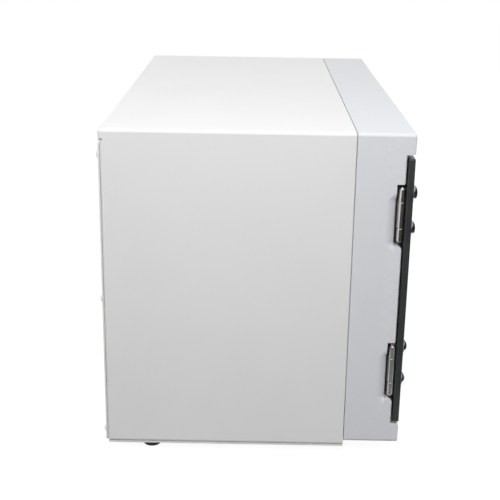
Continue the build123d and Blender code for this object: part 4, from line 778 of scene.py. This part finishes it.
def finish_pilot():
    """Ribbed lens in a bright collar."""
    lens = [(0, 0), (0.9, -0.08), (1.2, -0.3), (1.5, -0.12), (2.1, -0.35), (2.4, -0.6), (2.7, -0.45),
            (3.3, -0.95), (3.6, -1.25), (3.9, -1.15), (4.4, -1.9), (4.7, -2.4), (4.8, -3.0),
            (4.8, -4.0), (0, -4.0)]
    collar = [(4.85, -4.0), (4.85, -2.7), (5.1, -2.5), (5.35, -2.6), (5.5, -3.0), (5.5, -4.0),
              (4.85, -4.0)]
    at = seat(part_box("pilot_lamp_lens"), (0, -1, 0))
    dome = aim(turned("pilot_lens", lens, 56), at, (0, -1, 0))
    smooth(dome)
    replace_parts(mount(dome, "pilot_lamp_lens"), "pilot_lamp_lens")
    ring = aim(turned("pilot_collar", collar, 56), at, (0, -1, 0))
    smooth(ring)
    mount(ring, "pilot_lamp_lens", FINISHES["bright_chrome"])


def finish_fuse_cap():
    """Screw cap with a fluted rim and a coin slot."""
    outline = [(0, 0), (5.2, 0), (5.7, -0.15), (6.2, -0.6), (6.5, -1.2), (6.5, -6.6), (6.2, -7.0),
               (5.0, -7.0), (5.0, -20.5), (4.6, -21.0), (0, -21.0)]
    cap = turned("fuse_cap_body", outline, 72)
    fluted(cap, CAP_FLUTES, CAP_FLUTE_R, CAP_FLUTE_RING, -6.4, 1.0)
    cut(cap, block("coin_slot", (-8, -0.7, -1.2), (8, 0.7, 1.0)))
    aim(cap, seat(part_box("fuse_cap"), (0, 1, 0)), (0, 1, 0))
    smooth(cap)
    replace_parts(mount(cap, "fuse_cap"), "fuse_cap")


# Feet

def finish_feet():
    """Tapered feet with a moulded ring, a rounded tread and a screw hollow."""
    outline = [(3.8, 2.9), (3.8, 0.35), (4.1, 0.0), (5.9, 0.0), (6.6, 0.25), (7.05, 0.9), (7.6, 2.0),
               (7.75, 2.15), (8.15, 2.1), (8.35, 2.4), (9.5, 5.2), (9.9, 5.8), (9.97, 6.2), (9.8, 6.5),
               (1.6, 6.5), (1.6, 2.9), (3.8, 2.9)]
    foot = turned("foot", outline, 56)
    copies = []
    for low, high in solids("feet"):
        copy = again(foot)
        copy.location = ((low.x + high.x) / 2, (low.y + high.y) / 2, low.z)
        settle(copy)
        copies.append(copy)
    bpy.data.objects.remove(foot)
    feet = joined(copies, "feet_detail")
    smooth(feet)
    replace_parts(mount(feet, "feet"), "feet")


# Lamp

def finish_lamp():
    """Crimped end caps with two pins, and a filament on its support wires inside each end."""
    caps, wires = [], []
    for low, high in solids("uv_lamp_end_caps"):
        middle = Vector(((low.x + high.x) / 2, (low.y + high.y) / 2, (low.z + high.z) / 2))
        left = middle.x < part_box("uv_lamp_tube")[0].x + 50 * MM
        out = Vector((-1 if left else 1, 0, 0))
        face = seat((low, high), out)
        shell = [(0, -7.0), (6.4, -7.0), (7.2, -7.25), (7.8, -7.8), (8.0, -8.4), (8.0, -9.6),
                 (7.8, -9.8), (7.8, -10.1), (8.0, -10.3), (8.0, -13.2), (7.85, -13.4), (7.85, -13.7),
                 (8.0, -13.9), (8.0, -15.8), (7.9, -16.0), (7.55, -16.0), (7.55, -8.2), (0, -8.0)]
        caps.append(aim(turned("cap_shell", shell, 56), face, out))
        for side in (-LAMP_PIN_SIDE, LAMP_PIN_SIDE):
            outline = [(0, 0), (0.8, -0.1), (1.15, -0.5), (1.2, -1.0), (1.2, -7.6), (0, -7.6)]
            pin = turned("cap_pin", outline, 20)
            caps.append(aim(pin, face + Vector((0, side * MM, 0)), out))
            stem = turned("stem", [(0, -14.0), (0.3, -14.0), (0.3, -22.6), (0, -22.6)], 10)
            wires.append(aim(stem, face + Vector((0, side * MM, 0)), out))
        wires.append(filament(face - out * COIL_IN * MM))
        outline = [(0, -15.0), (3.6, -15.0), (3.2, -17.0), (1.8, -19.5), (0, -20.2)]
        press = turned("glass_press", outline, 24)
        wires.append(aim(press, face, out))
    caps = joined(caps, "lamp_caps")
    smooth(caps)
    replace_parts(mount(caps, "uv_lamp_end_caps"), "uv_lamp_end_caps")
    wires = joined(wires, "lamp_cathodes")
    smooth(wires)
    mount(wires, "uv_lamp_end_caps")


def filament(at):
    """Coiled filament across the lamp, a tube bent along a helix."""
    bpy.ops.curve.primitive_bezier_curve_add()
    coil = bpy.context.object
    coil.data.splines.remove(coil.data.splines[0])
    path = coil.data.splines.new("POLY")
    count = COIL_TURNS * COIL_STEPS
    path.points.add(count)
    for i, point in enumerate(path.points):
        turn = math.tau * i / COIL_STEPS
        along = (i / count - 0.5) * COIL_LEN
        point.co = (COIL_R * MM * math.cos(turn), along * MM, COIL_R * MM * math.sin(turn), 1)
    coil.data.bevel_depth = COIL_WIRE_R * MM
    coil.data.bevel_resolution = 1
    pick(coil)
    bpy.ops.object.convert(target="MESH")
    coil = bpy.context.object
    coil.location = at
    settle(coil)
    return coil


finish_screws()
finish_hinges()
finish_door_knob()
finish_timer_knob()
finish_dial()
finish_switch()
finish_pilot()
finish_fuse_cap()
finish_feet()
finish_lamp()


# Stage, light and camera

FLOOR_SIZE = (4, 4)
FLOOR_TONE = 0.17
FLOOR_GLOW = 0.93
FILL_LOW = 0.26
FILL_HIGH = 0.80
FRONT_SHADE = 0.50
CARD_COLOR = (0.92, 0.96, 1, 1)
FLAT = (0, 0, 0)
UPRIGHT = (math.pi / 2, 0, 0)

# Dark cards in metres: name, size, place, turn, the axis and stretch they fade along, dark and pale end
CARDS = (
    ("dark_card_left", (1.43, 1.1), (-0.975, -0.25, 0.0015), FLAT, "X", (-0.75, -0.30), 0.05, 0.30),
    ("dark_card_front", (3.0, 1.15), (0.4, -0.975, 0.002), FLAT, "Y", (-1.0, -0.4), 0.02, 0.06),
    ("dark_card_upright", (4.0, 1.5), (0.4, -1.55, 0.75), UPRIGHT, "Z", (0.30, 1.1), 0.02, 0.52),
)

# Soft lamps in metres and watts: name, place, what they point at, size, power, whether metal shows them
LAMPS = (
    ("overhead", (-0.3, 0.40, 1.7), (0, 0, 0.15), (1.6, 1.6), 8.6, True),
    ("hinge_side", (-0.64, 0.03, 0.48), (-0.20, 0.02, 0.15), (0.6, 0.6), 2.12, True),
    ("strip", (-1.0, -0.9, 0.6), (-0.2, -0.06, 0.15), (0.12, 0.9), 0.2, True),
    ("front_fill", (0.15, -1.2, 0.16), (0.05, 0, 0.13), (0.9, 0.24), 4.4, False),
)


def stage_plane(name, size, at=(0, 0, 0), turn=(0, 0, 0)):
    """Flat stage piece."""
    bpy.ops.mesh.primitive_plane_add(size=1, location=at, rotation=turn)
    plane = bpy.context.object
    plane.name = name
    plane.scale = (size[0], size[1], 1)
    settle(plane)
    plane.data.materials.append(bpy.data.materials.new(name))
    plane.data.materials[0].use_nodes = True
    return plane, Graph(plane.data.materials[0].node_tree)


def seen_rays(graph):
    """1 for rays that show the background: from the camera, off metal and through glass."""
    camera_ray = graph.node("ShaderNodeLightPath", output="Is Camera Ray")
    glossy_ray = graph.node("ShaderNodeLightPath", output="Is Glossy Ray")
    through_ray = graph.node("ShaderNodeLightPath", output="Is Transmission Ray")
    return camera_ray.math("MAXIMUM", glossy_ray).math("MAXIMUM", through_ray)


def backdrop():
    """Pale floor, white where it is seen and grey to the light that bounces, with its shadow kept."""
    floor, graph = stage_plane("floor", FLOOR_SIZE)
    diffuse = graph.node("ShaderNodeBsdfDiffuse", None, {"Color": (FLOOR_TONE, FLOOR_TONE, FLOOR_TONE, 1)})
    glow = graph.node("ShaderNodeEmission", None, {"Color": (1, 1, 1, 1), "Strength": FLOOR_GLOW})
    lit = graph.node("ShaderNodeAddShader", None, (diffuse, glow))
    shader = graph.node("ShaderNodeMixShader", None, (seen_rays(graph), diffuse, lit))
    graph.feed(graph.tree.nodes["Material Output"].inputs["Surface"], shader)


def dark_card(name, size, at, turn, axis, fade, dark, pale):
    """Card that only metal and gloss pick up, fading from dark to pale along one axis."""
    card, graph = stage_plane(name, size, at, turn)
    place = graph.node("ShaderNodeTexCoord", output="Object")
    along = graph.node("ShaderNodeSeparateXYZ", None, (place,), "XYZ".index(axis))
    level = along.band(*fade) * (pale - dark) + dark
    glow = graph.node("ShaderNodeEmission", None, {"Color": CARD_COLOR, "Strength": level})
    graph.feed(graph.tree.nodes["Material Output"].inputs["Surface"], glow)
    card.visible_camera = False
    card.visible_diffuse = False
    card.visible_transmission = False
    card.visible_shadow = False


def soft_box(name, at, aim_at, size, watts, shine):
    """Soft lamp pointed at a spot, left out of reflections where it doesn't shine in metal."""
    lamp = bpy.data.lights.new(name, "AREA")
    lamp.shape = "RECTANGLE"
    lamp.size, lamp.size_y = size
    lamp.energy = watts
    stand = bpy.data.objects.new(name, lamp)
    stand.location = at
    stand.rotation_euler = (Vector(aim_at) - Vector(at)).to_track_quat("-Z", "Y").to_euler()
    stand.visible_camera = False
    stand.visible_glossy = shine
    bpy.context.collection.objects.link(stand)


def surround():
    """White world where it is seen, and a softer fill from above for everything else."""
    world = bpy.data.worlds.new("surround")
    bpy.context.scene.world = world
    world.use_nodes = True
    graph = Graph(world.node_tree)
    direction = graph.node("ShaderNodeTexCoord", output="Generated")
    depth = graph.node("ShaderNodeSeparateXYZ", None, (direction,), 1)
    height = graph.node("ShaderNodeSeparateXYZ", None, (direction,), 2)
    level = height.band(-0.1, 0.9) * (FILL_HIGH - FILL_LOW) + FILL_LOW
    level = level * (depth.band(-0.9, 0.1) * FRONT_SHADE + (1 - FRONT_SHADE))
    fill = graph.node("ShaderNodeBackground", None, {"Color": (1, 1, 1, 1), "Strength": level})
    white = graph.node("ShaderNodeBackground", None, {"Color": (1, 1, 1, 1), "Strength": 1.0})
    shader = graph.node("ShaderNodeMixShader", None, (seen_rays(graph), fill, white))
    graph.feed(graph.tree.nodes["World Output"].inputs["Surface"], shader)


def camera():
    """The photograph's viewpoint: from the hinged side, a little above."""
    cy, sy = math.cos(CAMERA_YAW), math.sin(CAMERA_YAW)
    cp, sp = math.cos(CAMERA_PITCH), math.sin(CAMERA_PITCH)
    ahead = Vector((cp * cy, cp * sy, -sp))
    right = Vector((sy, -cy, 0.0))
    up = right.cross(ahead)
    cr, sr = math.cos(CAMERA_ROLL), math.sin(CAMERA_ROLL)
    right, up = cr * right + sr * up, cr * up - sr * right
    data = bpy.data.cameras.new("view")
    data.lens = CAMERA_LENS
    data.sensor_width = 36.0
    eye = bpy.data.objects.new("view", data)
    eye.matrix_world = Matrix.Translation(CAMERA_AT) @ Matrix((right, up, -ahead)).transposed().to_4x4()
    bpy.context.collection.objects.link(eye)
    bpy.context.scene.camera = eye


backdrop()
for card in CARDS:
    dark_card(*card)
surround()
for lamp in LAMPS:
    soft_box(*lamp)
camera()
bpy.context.scene.view_settings.view_transform = "Standard"
